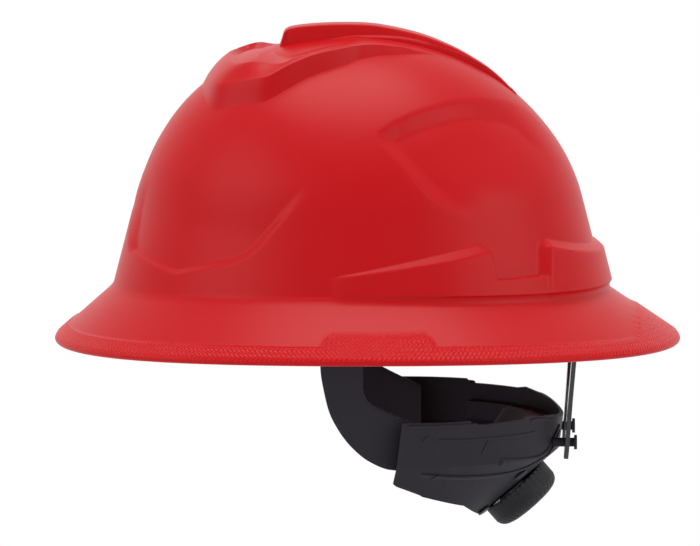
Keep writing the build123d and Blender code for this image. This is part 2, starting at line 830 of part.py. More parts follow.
# Ratchet: pitch lines lie one pitch radius above and below the knob's axis
pitch_radius = tooth_module * pinion_teeth / 2
rack_outer = cover_inner - rack_play
rack_inner = rack_outer - rack_thickness
rack_middle = rack_outer - rack_thickness / 2
tooth_pitch = pi * tooth_module
racks = {}
for rack_name, side, way in (("left_rack", 1, 1), ("right_rack", -1, -1)):
    pitch_circle = cone_point(way * pitch_radius, rack_middle)[0]
    root_slant = pitch_radius + tooth_height / 2
    band = [
        cone_point(way * root_slant, rack_outer),
        cone_point(way * (root_slant + rack_width), rack_outer),
        cone_point(way * (root_slant + rack_width), rack_inner),
        cone_point(way * root_slant, rack_inner),
    ]
    step_angle = degrees(tooth_pitch / pitch_circle)
    if side > 0:
        rack_band = turned_layer(band, -rack_nose_angle, rack_end_angle)
    else:
        rack_band = turned_layer(band, -rack_end_angle, rack_nose_angle)
    first = -int(rack_nose_angle / step_angle)
    last = int(rack_end_angle / step_angle) - 2
    with BuildPart() as rack:
        add(rack_band)
        for index in range(first, last):
            azimuth = side * (index + 0.5) * step_angle
            with BuildSketch(cone_plane(azimuth, way * root_slant, rack_inner + tooth_inset)):
                with BuildLine():
                    Polyline(
                        (-tooth_base, way * tooth_sink),
                        (-tooth_tip, way * tooth_height),
                        (tooth_tip, way * tooth_height),
                        (tooth_base, way * tooth_sink),
                        (tooth_base, -way * tooth_sink),
                        (-tooth_base, -way * tooth_sink),
                        close=True,
                    )
                make_face()
            extrude(amount=rack_thickness - 2 * tooth_inset)
    rack.part.label = rack_name
    racks[rack_name] = rack.part

shaft_top = boss_height + 2 * seat_clearance + shaft_grip
with BuildPart() as pinion:
    with BuildSketch(knob_plane(rack_inner)):
        Circle(pinion_core_radius)
        with PolarLocations(0, pinion_teeth, start_angle=90):
            Polygon(
                (pinion_tooth_root, -tooth_base),
                (pinion_tooth_end, -tooth_tip),
                (pinion_tooth_end, tooth_tip),
                (pinion_tooth_root, tooth_base),
                align=None,
            )
    extrude(amount=rack_thickness)
    with BuildSketch(knob_plane(liner_inner - clip_thickness - 3 * seat_clearance)):
        Circle(shaft_radius)
    extrude(amount=shaft_top - liner_inner + clip_thickness + 3 * seat_clearance)
pinion.part.label = "pinion"

with BuildPart() as shaft_clip:
    with BuildSketch(knob_plane(liner_inner - clip_thickness - seat_clearance)):
        Circle(clip_radius)
        Circle(shaft_radius + shaft_clearance, mode=Mode.SUBTRACT)
        with Locations((0, clip_radius)):
            Rectangle(shaft_radius, 2 * clip_radius - shaft_radius, mode=Mode.SUBTRACT)
    extrude(amount=clip_thickness)
shaft_clip.part.label = "shaft_clip"

# Knob: a cupped grip with a serrated rim and a domed end, turned about its own axis
knob_axis_origin = knob_plane(0).origin
knob_axis = Axis(tuple(knob_axis_origin), (0, cos(tilt), -sin(tilt)))
section_plane = Plane(origin=tuple(knob_axis_origin), x_dir=(1, 0, 0), z_dir=(0, sin(tilt), cos(tilt)))
hub_base = boss_height + seat_clearance
with BuildPart() as knob:
    with BuildSketch(section_plane):
        with BuildLine():
            shoulder_height = knob_height - 2 * knob_crown
            knob_profile = [
                (0, shaft_top + seat_clearance),
                (shaft_radius + shaft_clearance / 2, shaft_top + seat_clearance),
                (shaft_radius + shaft_clearance / 2, hub_base),
                (hub_radius, hub_base),
                (hub_radius, knob_height - knob_wall - knob_crown),
                (knob_radius - knob_wall, knob_height - knob_wall - 2 * knob_crown),
                (knob_radius - knob_wall, 0),
                (knob_radius, 0),
                (knob_radius, shoulder_height),
            ]
            Polyline(*knob_profile)
            ThreePointArc(
                (knob_radius, shoulder_height),
                (knob_round_shares[0] * knob_radius, knob_round_shares[1] * knob_height),
                (knob_flat_share * knob_radius, knob_height),
            )
            Line((knob_flat_share * knob_radius, knob_height), (0, knob_height))
            Line((0, knob_height), (0, shaft_top + seat_clearance))
        make_face()
    revolve(axis=knob_axis)
    with BuildSketch(knob_plane(0)):
        with PolarLocations(knob_radius, knob_serrations):
            Rectangle(serration_size, serration_size, rotation=serration_turn)
    extrude(amount=knob_height, mode=Mode.SUBTRACT)
knob.part.label = "knob"

# Click spring: an open ring round the housing's boss, its ends just clear of the knob's skirt
spring_inner = boss_radius + seat_clearance
tip_reach = knob_radius - knob_wall - 2 * seat_clearance
with BuildPart() as click_spring:
    with BuildSketch(knob_plane(0)):
        Circle(spring_inner + spring_thickness)
        Circle(spring_inner, mode=Mode.SUBTRACT)
        with BuildLine():
            gap_x = reach * sin(radians(spring_gap_angle / 2))
            Polyline((0, 0), (gap_x, reach), (-gap_x, reach), close=True)
        make_face(mode=Mode.SUBTRACT)
        for side in (-1, 1):
            angle = radians(90 + side * spring_gap_angle / 2)
            with BuildLine():
                Polyline(
                    (spring_inner * cos(angle), spring_inner * sin(angle)),
                    (tip_reach * cos(angle), tip_reach * sin(angle)),
                    (
                        tip_reach * cos(angle) + side * -spring_thickness * sin(angle),
                        tip_reach * sin(angle) + side * spring_thickness * cos(angle),
                    ),
                    (
                        spring_inner * cos(angle) + side * -spring_thickness * sin(angle),
                        spring_inner * sin(angle) + side * spring_thickness * cos(angle),
                    ),
                    close=True,
                )
            make_face()
    extrude(amount=spring_height)
click_spring.part.label = "click_spring"

# Hangers: slanted links from the rear keys' pins to the pegs on the nape housing
hangers = {}
hanger_pins = {}
hanger_drop = hanger_pin_z - hanger_foot_z
hanger_lean = degrees(atan2(hanger_pin_y - hanger_foot_y, hanger_drop))
hanger_face = Plane(
    origin=(0, hanger_pin_y, hanger_pin_z),
    x_dir=(1, 0, 0),
    z_dir=(0, -cos(radians(hanger_lean)), sin(radians(hanger_lean))),
)
for side_name, side in (("left", 1), ("right", -1)):
    with BuildPart() as hanger:
        with BuildSketch(hanger_face.offset(-hanger_thickness / 2)):
            with BuildLine():
                foot_depth = hanger_drop / cos(radians(hanger_lean))
                eye_x = side * hanger_pin_x
                foot_x = side * hanger_foot_x
                half = hanger_width / 2
                Polyline(
                    (eye_x - half, 0),
                    (eye_x + half, 0),
                    (eye_x + half, -2 * hanger_eye_radius),
                    (foot_x + half, -hanger_bend_depth),
                    (foot_x + half, -foot_depth - hanger_tail / 2),
                    (foot_x + half / 2, -foot_depth - hanger_tail),
                    (foot_x - half / 2, -foot_depth - hanger_tail),
                    (foot_x - half, -foot_depth - hanger_tail / 2),
                    (foot_x - half, -hanger_bend_depth),
                    (eye_x - half, -2 * hanger_eye_radius),
                    close=True,
                )
            make_face()
            with Locations((side * hanger_foot_x, -foot_depth - slot_drop)):
                SlotCenterToCenter(
                    slot_travel, 2 * (peg_radius + 2 * seat_clearance), rotation=90, mode=Mode.SUBTRACT
                )
        extrude(amount=hanger_thickness)
        with BuildSketch(Plane.YZ.offset(side * hanger_pin_x - hanger_width / 2)):
            with Locations((hanger_pin_y, hanger_pin_z)):
                Circle(hanger_eye_radius - seat_clearance)
        extrude(amount=hanger_width)
        with BuildSketch(Plane.YZ.offset(side * hanger_pin_x - hanger_width)):
            with Locations((hanger_pin_y, hanger_pin_z)):
                Circle(hanger_pin_radius + shaft_clearance)
        extrude(amount=2 * hanger_width, mode=Mode.SUBTRACT)
    hanger.part.label = side_name + "_hanger"
    hangers[side_name + "_hanger"] = hanger.part
    pin_half = hanger_width / 2 + seat_clearance + lug_thickness
    with BuildPart() as pin:
        with BuildSketch(Plane.YZ.offset(side * hanger_pin_x - pin_half - rivet_head)):
            with Locations((hanger_pin_y, hanger_pin_z)):
                Circle(hanger_pin_radius)
        extrude(amount=2 * (pin_half + rivet_head))
    pin.part.label = side_name + "_hanger_pin"
    hanger_pins[side_name + "_hanger_pin"] = pin.part

# Export: one file for each piece
os.makedirs("parts", exist_ok=True)
export_step(shell.part, "parts/shell.step")
for name, solid in keys.items():
    export_step(solid, "parts/" + name + ".step")
for name, solid in crown_straps.items():
    export_step(solid, "parts/" + name + ".step")
export_step(headband.part, "parts/headband.step")
export_step(brow_pad.part, "parts/brow_pad.step")
export_step(nape_housing.part, "parts/nape_housing.step")
export_step(nape_liner.part, "parts/nape_liner.step")
export_step(housing_rivets.part, "parts/housing_rivets.step")
export_step(nape_pad.part, "parts/nape_pad.step")
for name, solid in racks.items():
    export_step(solid, "parts/" + name + ".step")
export_step(pinion.part, "parts/pinion.step")
export_step(shaft_clip.part, "parts/shaft_clip.step")
export_step(knob.part, "parts/knob.step")
export_step(click_spring.part, "parts/click_spring.step")
for name, solid in hangers.items():
    export_step(solid, "parts/" + name + ".step")
for name, solid in hanger_pins.items():
    export_step(solid, "parts/" + name + ".step")
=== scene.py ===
import json
from math import cos, pi, radians, sin, tan

import bmesh
import bpy
import numpy as np
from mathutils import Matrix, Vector


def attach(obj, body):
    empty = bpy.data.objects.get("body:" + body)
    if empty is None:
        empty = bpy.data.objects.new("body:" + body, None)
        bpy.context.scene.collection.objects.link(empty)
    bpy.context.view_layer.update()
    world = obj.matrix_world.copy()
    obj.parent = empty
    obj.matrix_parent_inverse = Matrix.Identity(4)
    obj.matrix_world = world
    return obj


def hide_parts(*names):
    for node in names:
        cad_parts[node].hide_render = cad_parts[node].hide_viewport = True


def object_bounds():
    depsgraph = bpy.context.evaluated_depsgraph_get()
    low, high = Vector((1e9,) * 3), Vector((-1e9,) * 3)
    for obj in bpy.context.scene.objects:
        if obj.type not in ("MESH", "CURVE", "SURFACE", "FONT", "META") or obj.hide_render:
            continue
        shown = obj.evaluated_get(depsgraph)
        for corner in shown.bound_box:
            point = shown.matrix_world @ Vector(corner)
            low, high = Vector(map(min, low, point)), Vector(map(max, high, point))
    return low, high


# Full brim hard hat. Lengths below are in millimetres, and meshes are made in metres.
# +Z is up, -Y is the brow, +Y is the nape, and +X is the wearer's left, which faces the camera.
# phi is the azimuth about the head axis from +Y towards +X, and psi is a surface's lean from level.
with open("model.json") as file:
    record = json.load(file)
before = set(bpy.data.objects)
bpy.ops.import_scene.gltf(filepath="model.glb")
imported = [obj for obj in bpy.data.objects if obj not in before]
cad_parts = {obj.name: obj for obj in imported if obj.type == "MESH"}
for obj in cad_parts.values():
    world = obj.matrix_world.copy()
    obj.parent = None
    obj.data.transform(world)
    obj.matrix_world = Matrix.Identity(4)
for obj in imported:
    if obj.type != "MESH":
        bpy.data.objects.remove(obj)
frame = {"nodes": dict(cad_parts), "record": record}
cad_low, cad_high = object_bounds()
MM = 0.001
NODES = frame["nodes"]
BODY_OF = {name: body for body, names in frame["record"]["behaviour"]["bodies"].items() for name in names}
SLOT_OF = {part["node"]: part["material_slot"] for part in frame["record"]["subparts"]}

# ---- values of the form
# Dome: a crown arc, a shoulder arc and a leaning wall, turned and narrowed from side to side
SQUEEZE = 200 / 242
ARC_CENTRE, ARC_RADIUS = 32.5, 117.5
APEX = ARC_CENTRE + ARC_RADIUS
BEND_CENTRE, BEND_RADIUS = (22.673, 48.063), 90.0
BEND_ANGLE, WALL_ANGLE = radians(55.534), radians(75.6)
WALL_LOW = (109.845, 70.445)
WALL_SLOPE = tan(radians(14.4))
SHELL_DEPTH = 3.8
# Fullness over the plain dome, by psi in degrees: from the apex to the brow, and down the brow
FULLNESS_TOP = [(0, 0), (8, 0), (18, 1.6), (28, 3.2)]
FULLNESS_LOW = [(41, 3.2), (45, 3.0), (50, 2.4), (54, 1.7), (59, 1.0), (65, 0.35), (72, 0), (90, 0)]
BROW_TURN = (100, 145)
# Brim: ends of its flare at z = 0, how fast they draw in with height, and its arch
EDGE_FRONT, EDGE_REAR, EDGE_SIDE = 150.5, 159.5, 140.0
SLOPE_FRONT, SLOPE_REAR, SLOPE_SIDE = (1 / tan(radians(a)) for a in (41.8, 34.4, 37.9))
RIM_ARCH, RIM_MIDDLE, RIM_REACH = 6, 4.5, 155
# The flare ends this far above the rim's lower edge, where the rolled rim takes over
RIM_ABOVE = 1.5
BRIM_LEAN = radians(38)
FILLET_UP, FILLET_DOWN = 2.4, 2.8
# Moulded band round the rim, its side patches (side view limits and slant) and its rear patch
BAND_PROUD, BAND_LIP = 0.8, 1.6
BAND_EDGE = (8.0, 9.2)
PATCH_WIDTH, PATCH_START, PATCH_END = 19, -18.5, 36.5
PATCH_MIDDLE, PATCH_SLANT = 9, 40
REAR_PATCH = 135.0
# Rolled rim: centre of its round section from the band's edge, and its radius
ROLL_IN, ROLL_UP, ROLL_RADIUS = 0.55, 0.35, 1.55
# Underside of the brim: how far it lies in from the top side and under it
UNDER_IN, UNDER_DOWN = 0.9, 2.55
# Sunken panels: depth and width of the slope at their edge, and where they fade out
PANEL_DEPTH, PANEL_LIP = 2.4, 2.8
PANEL_FADE = (60, 90)
SCOOP_DEPTH, SCOOP_LIP = 3.4, 6.5
SCOOP_REAR, SCOOP_FRONT, SCOOP_HIGH = (70, 106), (30, 62), (76, 104)
# Belt: how proud it stands, the wedge's growth along Y, its chamfer and least height at the tip, its sloped
# rear end, and then the rear block and the low base under both
BELT_PROUD = 3.1
WEDGE_START, WEDGE_TIP_END, WEDGE_FULL = -14, -8, 46
WEDGE_CHAMFER, WEDGE_GROWTH, WEDGE_LEAST, WEDGE_END_LIP = 0.8, 4.4, 0.25, 0.7
WEDGE_CORNER, WEDGE_KNEE, WEDGE_END_SLOPE = (58.5, 57.6), (63.5, 52.6), 0.246
BLOCK_PROUD, BLOCK_CHAMFER, BLOCK_START = 1.35, 4.6, (87, 91.5)
BASE_TOP, BASE_LIP, BASE_START = 40.2, 0.9, (30, 58)
# Crest: depth and lip of the recess, twice the radius of its crown, the foot's sink under the dome
RECESS_DEPTH, RECESS_LIP = 3.3, 3.0
CREST_CROWN = 420
CREST_SINK = 3.4
# Suspension: crown straps with their keys' azimuth, and sockets
STRAP_RADIUS, STRAP_BASE, STRAP_RISE, STRAP_END = 98.6, 45, 70.3, 10
STRAP_HALF_WIDTH, STRAP_HALF_DEPTH = 9.6, 0.76
STRAP_TURN = radians(27)
RIGHT_STRAP_LIFT = 2.0
SOCKET_HALF_WIDTH, SOCKET_INSIDE, SOCKET_OUTSIDE = 11.4, 100.1, 105.8
SOCKET_TOP, SOCKET_FOOT, SOCKET_SPREAD = 46.2, 26.8, 0.245
# Headband arms: radius, lean, half thickness, and where they start to bend round the nape
ARM_RADIUS, ARM_LEAN, ARM_HALF_DEPTH, ARM_FLAT_TO = 78, radians(10.2), 1.2, 3
# Nape unit: a leaning wall above a cone, both about the upright axis at NAPE_Y; the knob stands on the cone
TILT = radians(49)
LEAN = radians(7)
NAPE_Y = 23.0
NAPE_WALL, NAPE_WALL_Z = 79, -31
NAPE_ARC = 76.0
CONE_RADIUS, KNOB_Z = 53.6, -73.2
KNOB_Y = NAPE_Y + CONE_RADIUS
KNOB_RIBS, RIB_DEPTH = 36, 1.0
# Brow pad: half angle, the band's inner ellipse, middle and half height, thickness at its edge and its swell
BROW_TURN_HALF, BROW_SIDE, BROW_FRONT = radians(58.3), 76.7, 94.7
BROW_MIDDLE, BROW_HALF, BROW_EDGE, BROW_SWELL = 16, 18.2, 1.4, 4.2
# Nape pad: half angle, top, corner, length down the cone, offset of its back, edge, swell, dip at the hub
NAPE_TURN_HALF, NAPE_TOP, NAPE_CORNER, NAPE_SLANT = radians(42.4), -41.0, -53.4, -15.3
NAPE_BACK, NAPE_EDGE, NAPE_SWELL, NAPE_DIP = -9.1, 1.6, 5.4, 3.2


# ---- small helpers
def smooth(low, high, value):
    """Smoothstep: 0 below low, 1 above high, 3t^2 - 2t^3 between."""
    t = np.clip((value - low) / (high - low), 0, 1)
    return t * t * (3 - 2 * t)


def ramp(low, high, value):
    """Straight ramp from 0 at low to 1 at high."""
    return np.clip((value - low) / (high - low), 0, 1)


def boxed(wave, power):
    """A wave pressed towards its ends, sign(w) times |w| to a power, for sections like a rounded box."""
    return np.sign(wave) * np.abs(wave) ** power


def circle(count):
    """Angles once round a section."""
    return np.linspace(0, 2 * pi, count, endpoint=False)


def curve(xs, table):
    """Smooth curve through a table of (x, y) pairs: cubic Hermite with monotone-safe slopes."""
    px, py = np.array(table, float).T
    step = np.diff(py) / np.diff(px)
    inner = np.where(step[1:] * step[:-1] > 0, 2 * step[1:] * step[:-1] / (step[1:] + step[:-1] + 1e-12), 0)
    slope = np.concatenate([step[:1], inner, step[-1:]])
    xs = np.clip(xs, px[0], px[-1])
    i = np.clip(np.searchsorted(px, xs, side="right") - 1, 0, len(px) - 2)
    h = px[i + 1] - px[i]
    t = (xs - px[i]) / h
    return (
        (2 * t**3 - 3 * t**2 + 1) * py[i]
        + (t**3 - 2 * t**2 + t) * h * slope[i]
        + (3 * t**2 - 2 * t**3) * py[i + 1]
        + (t**3 - t**2) * h * slope[i + 1]
    )


def evened(places, table):
    """Mean of a curve over a few places round each point, which rounds its corners."""
    return sum(curve(xs, table) for xs in places) / len(places)


def inside_distance(u, v, outline):
    """Signed distance to a closed outline in the plane of u and v: above 0 inside, by the nearest edge."""
    pts = np.array(outline, float)
    nearest = np.full(u.shape, 1e9)
    odd = np.zeros(u.shape, bool)
    for a, b in zip(pts, np.roll(pts, -1, axis=0)):
        d = b - a
        t = np.clip(((u - a[0]) * d[0] + (v - a[1]) * d[1]) / (d @ d), 0, 1)
        nearest = np.minimum(nearest, np.hypot(u - a[0] - t * d[0], v - a[1] - t * d[1]))
        crosses = (a[1] > v) != (b[1] > v)
        at = a[0] + (v - a[1]) / np.where(d[1] == 0, 1e-9, d[1]) * d[0]
        odd ^= crosses & (u < at)
    return np.where(odd, nearest, -nearest)


def run_lengths(x, y):
    """Length along a polyline at each of its points, from 0."""
    return np.concatenate([[0], np.cumsum(np.hypot(np.diff(x), np.diff(y)))])


def around(phi, r, z):
    """Points at plan radius r and height z, at azimuth phi."""
    return np.stack([r * np.sin(phi), r * np.cos(phi), z], -1)


def end_tips(rings):
    """Middle of the first and of the last ring."""
    return [rings[k].mean(axis=0) for k in (0, -1)]


def new_object(name, data):
    """An object in the scene that shows the data."""
    obj = bpy.data.objects.new(name, data)
    bpy.context.scene.collection.objects.link(obj)
    return obj


def ring_piece(name, rings, ends, body, slot, angle, uv=None):
    """Closed surface over a grid of points in millimetres: columns wrap round, each end closes on its tip.
    It rides a body, carries its slot's material, and is smooth but for edges sharper than the angle."""
    rows, cols, _ = rings.shape
    verts = np.vstack([rings.reshape(-1, 3), np.array([np.asarray(end, float) for end in ends])])
    idx = np.arange(rows * cols).reshape(rows, cols)
    right = np.roll(idx, -1, axis=1)
    quads = np.stack([idx[:-1], right[:-1], right[1:], idx[1:]], -1).reshape(-1, 4)
    first, last = np.full(cols, rows * cols), np.full(cols, rows * cols + 1)
    tris = np.concatenate([np.stack([right[0], idx[0], first], -1), np.stack([idx[-1], right[-1], last], -1)])
    flat = []
    if uv is not None:
        a, b = uv[:-1], uv[1:]
        flat.append(np.stack([a[:, :-1], a[:, 1:], b[:, 1:], b[:, :-1]], 2).reshape(-1, 4, 2))
        near, far = (uv[0, 1:], uv[0, :-1]), (uv[-1, :-1], uv[-1, 1:])
        flat.append(np.concatenate([np.stack([c, d, (c + d) / 2], 1) for c, d in (near, far)]))
    corners = verts[np.concatenate([tris, quads[:, [0, 1, 2]], quads[:, [0, 2, 3]]])]
    if np.einsum("ij,ij->i", corners[:, 0], np.cross(corners[:, 1], corners[:, 2])).sum() < 0:
        quads, tris, flat = quads[:, ::-1], tris[:, ::-1], [part[:, ::-1] for part in flat]
    mesh = bpy.data.meshes.new(name)
    mesh.from_pydata((verts * MM).tolist(), [], quads.tolist() + tris.tolist())
    mesh.update()
    if flat:
        layer = mesh.uv_layers.new(name="plan")
        layer.data.foreach_set("uv", np.concatenate([part.reshape(-1, 2) for part in flat]).ravel())
    mesh.shade_smooth()
    mesh.set_sharp_from_angle(angle=radians(angle))
    mesh.materials.append(LOOKS[slot])
    obj = new_object(name, mesh)
    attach(obj, body)
    return obj


# ---- materials
def fill(tree, made, values):
    """Give a node its settings and its inputs: a socket is linked to the input, any other value is set."""
    for key, value in values.items():
        if key not in made.inputs:
            setattr(made, key, value)
        elif isinstance(value, bpy.types.NodeSocket):
            tree.links.new(value, made.inputs[key])
        else:
            made.inputs[key].default_value = value
    return made


def node(tree, kind, **values):
    """A new node of a tree, filled with the values."""
    return fill(tree, tree.nodes.new(kind), values)


def maths(tree, operation, *values):
    """Result of a math node whose inputs are sockets to link or plain numbers."""
    made = node(tree, "ShaderNodeMath", operation=operation)
    for place, value in enumerate(values):
        if isinstance(value, (int, float)):
            made.inputs[place].default_value = value
        else:
            tree.links.new(value, made.inputs[place])
    return made.outputs[0]


def effect_group(name, inputs, outputs):
    """Empty node group with inputs by default value and outputs by kind, its input sockets and its end."""
    tree = bpy.data.node_groups.new(name, "ShaderNodeTree")
    for label, value in inputs.items():
        kind = "NodeSocketColor" if isinstance(value, tuple) else "NodeSocketFloat"
        tree.interface.new_socket(label, in_out="INPUT", socket_type=kind).default_value = value
    for label, kind in outputs.items():
        tree.interface.new_socket(label, in_out="OUTPUT", socket_type="NodeSocket" + kind)
    return tree, tree.nodes.new("NodeGroupInput").outputs, tree.nodes.new("NodeGroupOutput")


def make_grain_group():
    """Moulded grain: fine noise as a bump normal, and broad noise as a change of roughness."""
    tree, source, sink = effect_group(
        "moulded_grain",
        {"Scale": 900.0, "Depth": 0.05, "Roughness": 0.4, "Vary": 0.08},
        {"Roughness": "Float", "Normal": "Vector"},
    )
    place = node(tree, "ShaderNodeTexCoord").outputs["Object"]
    fine = node(tree, "ShaderNodeTexNoise", Vector=place, Scale=source["Scale"], Detail=3.0, Roughness=0.6)
    broad = node(tree, "ShaderNodeTexNoise", Vector=place, Scale=24.0, Detail=4.0)
    bump = node(tree, "ShaderNodeBump", Height=fine.outputs["Fac"], Strength=source["Depth"], Distance=0.0004)
    centred = maths(tree, "SUBTRACT", broad.outputs["Fac"], 0.5)
    varied = maths(tree, "MULTIPLY_ADD", centred, source["Vary"], source["Roughness"])
    fill(tree, sink, {"Roughness": varied, "Normal": bump.outputs["Normal"]})
    return tree


def make_wear_group():
    """Edge wear: a second colour where the surface's pointiness is high, broken up by noise."""
    tree, source, sink = effect_group(
        "edge_wear",
        {"Color": (0.5, 0.5, 0.5, 1), "Worn": (0.7, 0.7, 0.7, 1), "Amount": 0.3},
        {"Color": "Color"},
    )
    place = node(tree, "ShaderNodeTexCoord").outputs["Object"]
    shape = node(tree, "ShaderNodeNewGeometry").outputs["Pointiness"]
    sharp = node(tree, "ShaderNodeMapRange", Value=shape, **{"From Min": 0.51, "From Max": 0.60})
    noise = node(tree, "ShaderNodeTexNoise", Vector=place, Scale=180.0, Detail=4.0)
    broken = maths(tree, "MULTIPLY", sharp.outputs["Result"], noise.outputs["Fac"])
    share = maths(tree, "MULTIPLY", broken, source["Amount"])
    mix = node(tree, "ShaderNodeMix", data_type="RGBA", Factor=share, A=source["Color"], B=source["Worn"])
    fill(tree, sink, {"Color": mix.outputs["Result"]})
    return tree


def plan_axes(tree):
    """Both coordinates of the plan UV layer, which is in millimetres."""
    plan = node(tree, "ShaderNodeUVMap", uv_map="plan").outputs["UV"]
    split = node(tree, "ShaderNodeSeparateXYZ", Vector=plan)
    return split.outputs["X"], split.outputs["Y"]


def make_zigzag_group():
    """Herringbone on the rim: a triangle wave along the rim pushed sideways by a second one across it."""
    tree, source, sink = effect_group("rim_zigzag", {"Pitch": 2.4, "Wave": 1.6}, {"Height": "Float"})
    along, across = plan_axes(tree)
    pushed = maths(tree, "ADD", along, maths(tree, "PINGPONG", across, source["Wave"]))
    wave = maths(tree, "PINGPONG", pushed, maths(tree, "MULTIPLY", source["Pitch"], 0.5))
    mask = node(tree, "ShaderNodeAttribute", attribute_name="band").outputs["Fac"]
    fill(tree, sink, {"Height": maths(tree, "MULTIPLY", wave, mask)})
    return tree


def make_weave_group():
    """Woven webbing: a checker of over and under threads from two crossed sine waves in the UV plan."""
    tree, source, sink = effect_group("webbing_weave", {"Along": 1.4, "Across": 0.9}, {"Height": "Float"})
    waves = []
    for axis, pitch in zip(plan_axes(tree), ("Along", "Across")):
        turn = maths(tree, "MULTIPLY", maths(tree, "DIVIDE", axis, source[pitch]), pi)
        waves.append(maths(tree, "SINE", turn))
    fill(tree, sink, {"Height": maths(tree, "MULTIPLY", *waves)})
    return tree


GRAIN, WEAR, ZIGZAG, WEAVE = make_grain_group(), make_wear_group(), make_zigzag_group(), make_weave_group()


def plastic(name, color, roughness, worn=None, amount=0.25, scale=900.0, depth=0.05, vary=0.06,
            specular=0.5, metallic=0.0, sheen=0.0):
    """Procedural material: base colour with edge wear, grain as bump and in the roughness."""
    mat = bpy.data.materials.new(name)
    mat.use_nodes = True
    tree = mat.node_tree
    worn = worn or [min(1, c * 1.8 + 0.02) for c in color]
    grain = node(tree, "ShaderNodeGroup", node_tree=GRAIN, Scale=scale, Depth=depth, Roughness=roughness,
                 Vary=vary).outputs
    wear = node(tree, "ShaderNodeGroup", node_tree=WEAR, Color=(*color, 1), Worn=(*worn, 1), Amount=amount)
    fill(tree, tree.nodes["Principled BSDF"], {
        "Base Color": wear.outputs["Color"], "Roughness": grain["Roughness"], "Normal": grain["Normal"],
        "Specular IOR Level": specular, "Metallic": metallic, "Sheen Weight": sheen})
    return mat


def add_bump(mat, group, strength, distance, **values):
    """A second bump laid over a material's grain from a shared effect's height."""
    tree = mat.node_tree
    normal = tree.nodes["Principled BSDF"].inputs["Normal"]
    made = node(tree, "ShaderNodeGroup", node_tree=group, **values)
    bump = node(tree, "ShaderNodeBump", Normal=normal.links[0].from_socket, Height=made.outputs["Height"],
                Strength=strength, Distance=distance)
    tree.links.new(bump.outputs["Normal"], normal)


def tint_band(mat, color):
    """The material's second base colour where the moulded band's mask is set."""
    tree = mat.node_tree
    wear = tree.nodes["Principled BSDF"].inputs["Base Color"].links[0].from_node.inputs["Color"]
    mask = node(tree, "ShaderNodeAttribute", attribute_name="band").outputs["Fac"]
    mix = node(tree, "ShaderNodeMix", data_type="RGBA", Factor=mask, A=wear.default_value, B=(*color, 1))
    tree.links.new(mix.outputs["Result"], wear)


RED = plastic("shell_red", (0.52, 0.003, 0.006), 0.38, worn=(0.55, 0.010, 0.014), amount=0.2, depth=0.02,
              vary=0.05, specular=0.17)
add_bump(RED, ZIGZAG, 0.5, 0.0004, Pitch=2.4, Wave=1.5)
tint_band(RED, (0.56, 0.001, 0.004))
BLACK = plastic("moulded_black", (0.023, 0.022, 0.029), 0.46, depth=0.10, specular=0.22)
SATIN = plastic("satin_black", (0.037, 0.035, 0.044), 0.50, depth=0.06, specular=0.05)
GLOSS = plastic("gloss_black", (0.020, 0.020, 0.026), 0.14, depth=0.01, vary=0.03)
RUBBER = plastic("knob_rubber", (0.017, 0.017, 0.022), 0.60, depth=0.15, specular=0.3)
WEB = plastic("woven_strap", (0.016, 0.016, 0.020), 0.80, depth=0.20, sheen=0.15, specular=0.25)
add_bump(WEB, WEAVE, 0.7, 0.0004)
CLOTH = plastic("pad_cloth", (0.014, 0.014, 0.018), 0.92, scale=1600.0, depth=0.35, sheen=0.2, specular=0.25)
STEEL = plastic("spring_steel", (0.55, 0.55, 0.56), 0.28, metallic=1.0, amount=0.1)
LOOKS = {"shell_red": RED, "key_plastic": BLACK, "strap_web": WEB, "band_plastic": SATIN, "pad_cloth": CLOTH,
         "nape_plastic": SATIN, "rivet_plastic": BLACK, "spring_steel": STEEL, "knob_rubber": RUBBER,
         "hanger_plastic": GLOSS}
for cad_name, cad_node in NODES.items():
    for place in range(len(cad_node.material_slots)):
        cad_node.material_slots[place].material = LOOKS[SLOT_OF[cad_name]]


# ---- shell: the dome
def meridian(s):
    """Dome section by arc length s from the apex: radius, height and psi.
    The crown and the shoulder are arcs, each about its own centre, and a straight wall follows."""
    a1 = ARC_RADIUS * BEND_ANGLE
    a2 = a1 + BEND_RADIUS * (WALL_ANGLE - BEND_ANGLE)
    psi = np.where(s < a1, s / ARC_RADIUS, np.minimum(BEND_ANGLE + (s - a1) / BEND_RADIUS, WALL_ANGLE))
    r = np.where(s < a1, ARC_RADIUS * np.sin(psi), BEND_CENTRE[0] + BEND_RADIUS * np.sin(psi))
    z = np.where(s < a1, ARC_CENTRE + ARC_RADIUS * np.cos(psi), BEND_CENTRE[1] + BEND_RADIUS * np.cos(psi))
    along = np.maximum(s - a2, 0)
    return r + along * np.cos(WALL_ANGLE), z - along * np.sin(WALL_ANGLE), psi


def wall_length(z):
    """Arc length from the apex at height z on the straight wall."""
    a2 = ARC_RADIUS * BEND_ANGLE + BEND_RADIUS * (WALL_ANGLE - BEND_ANGLE)
    return a2 + (WALL_LOW[1] - z) / np.sin(WALL_ANGLE)


def wall_radius(z):
    """Section radius of the straight wall at height z."""
    return WALL_LOW[0] + (WALL_LOW[1] - z) * WALL_SLOPE


def squash_factor(phi):
    """True plan radius per unit of section radius at azimuth phi, for a plan narrowed from side to side."""
    return 1 / np.sqrt((np.sin(phi) / SQUEEZE) ** 2 + np.cos(phi) ** 2)


def squeezed_normal(x, y, r, psi):
    """Outward unit normal of the narrowed dome at plan point x, y, where the section radius is r."""
    normal = np.stack([np.sin(psi) * x / SQUEEZE**2 / r, np.sin(psi) * y / r, np.cos(psi)], -1)
    return normal / np.linalg.norm(normal, axis=-1, keepdims=True)


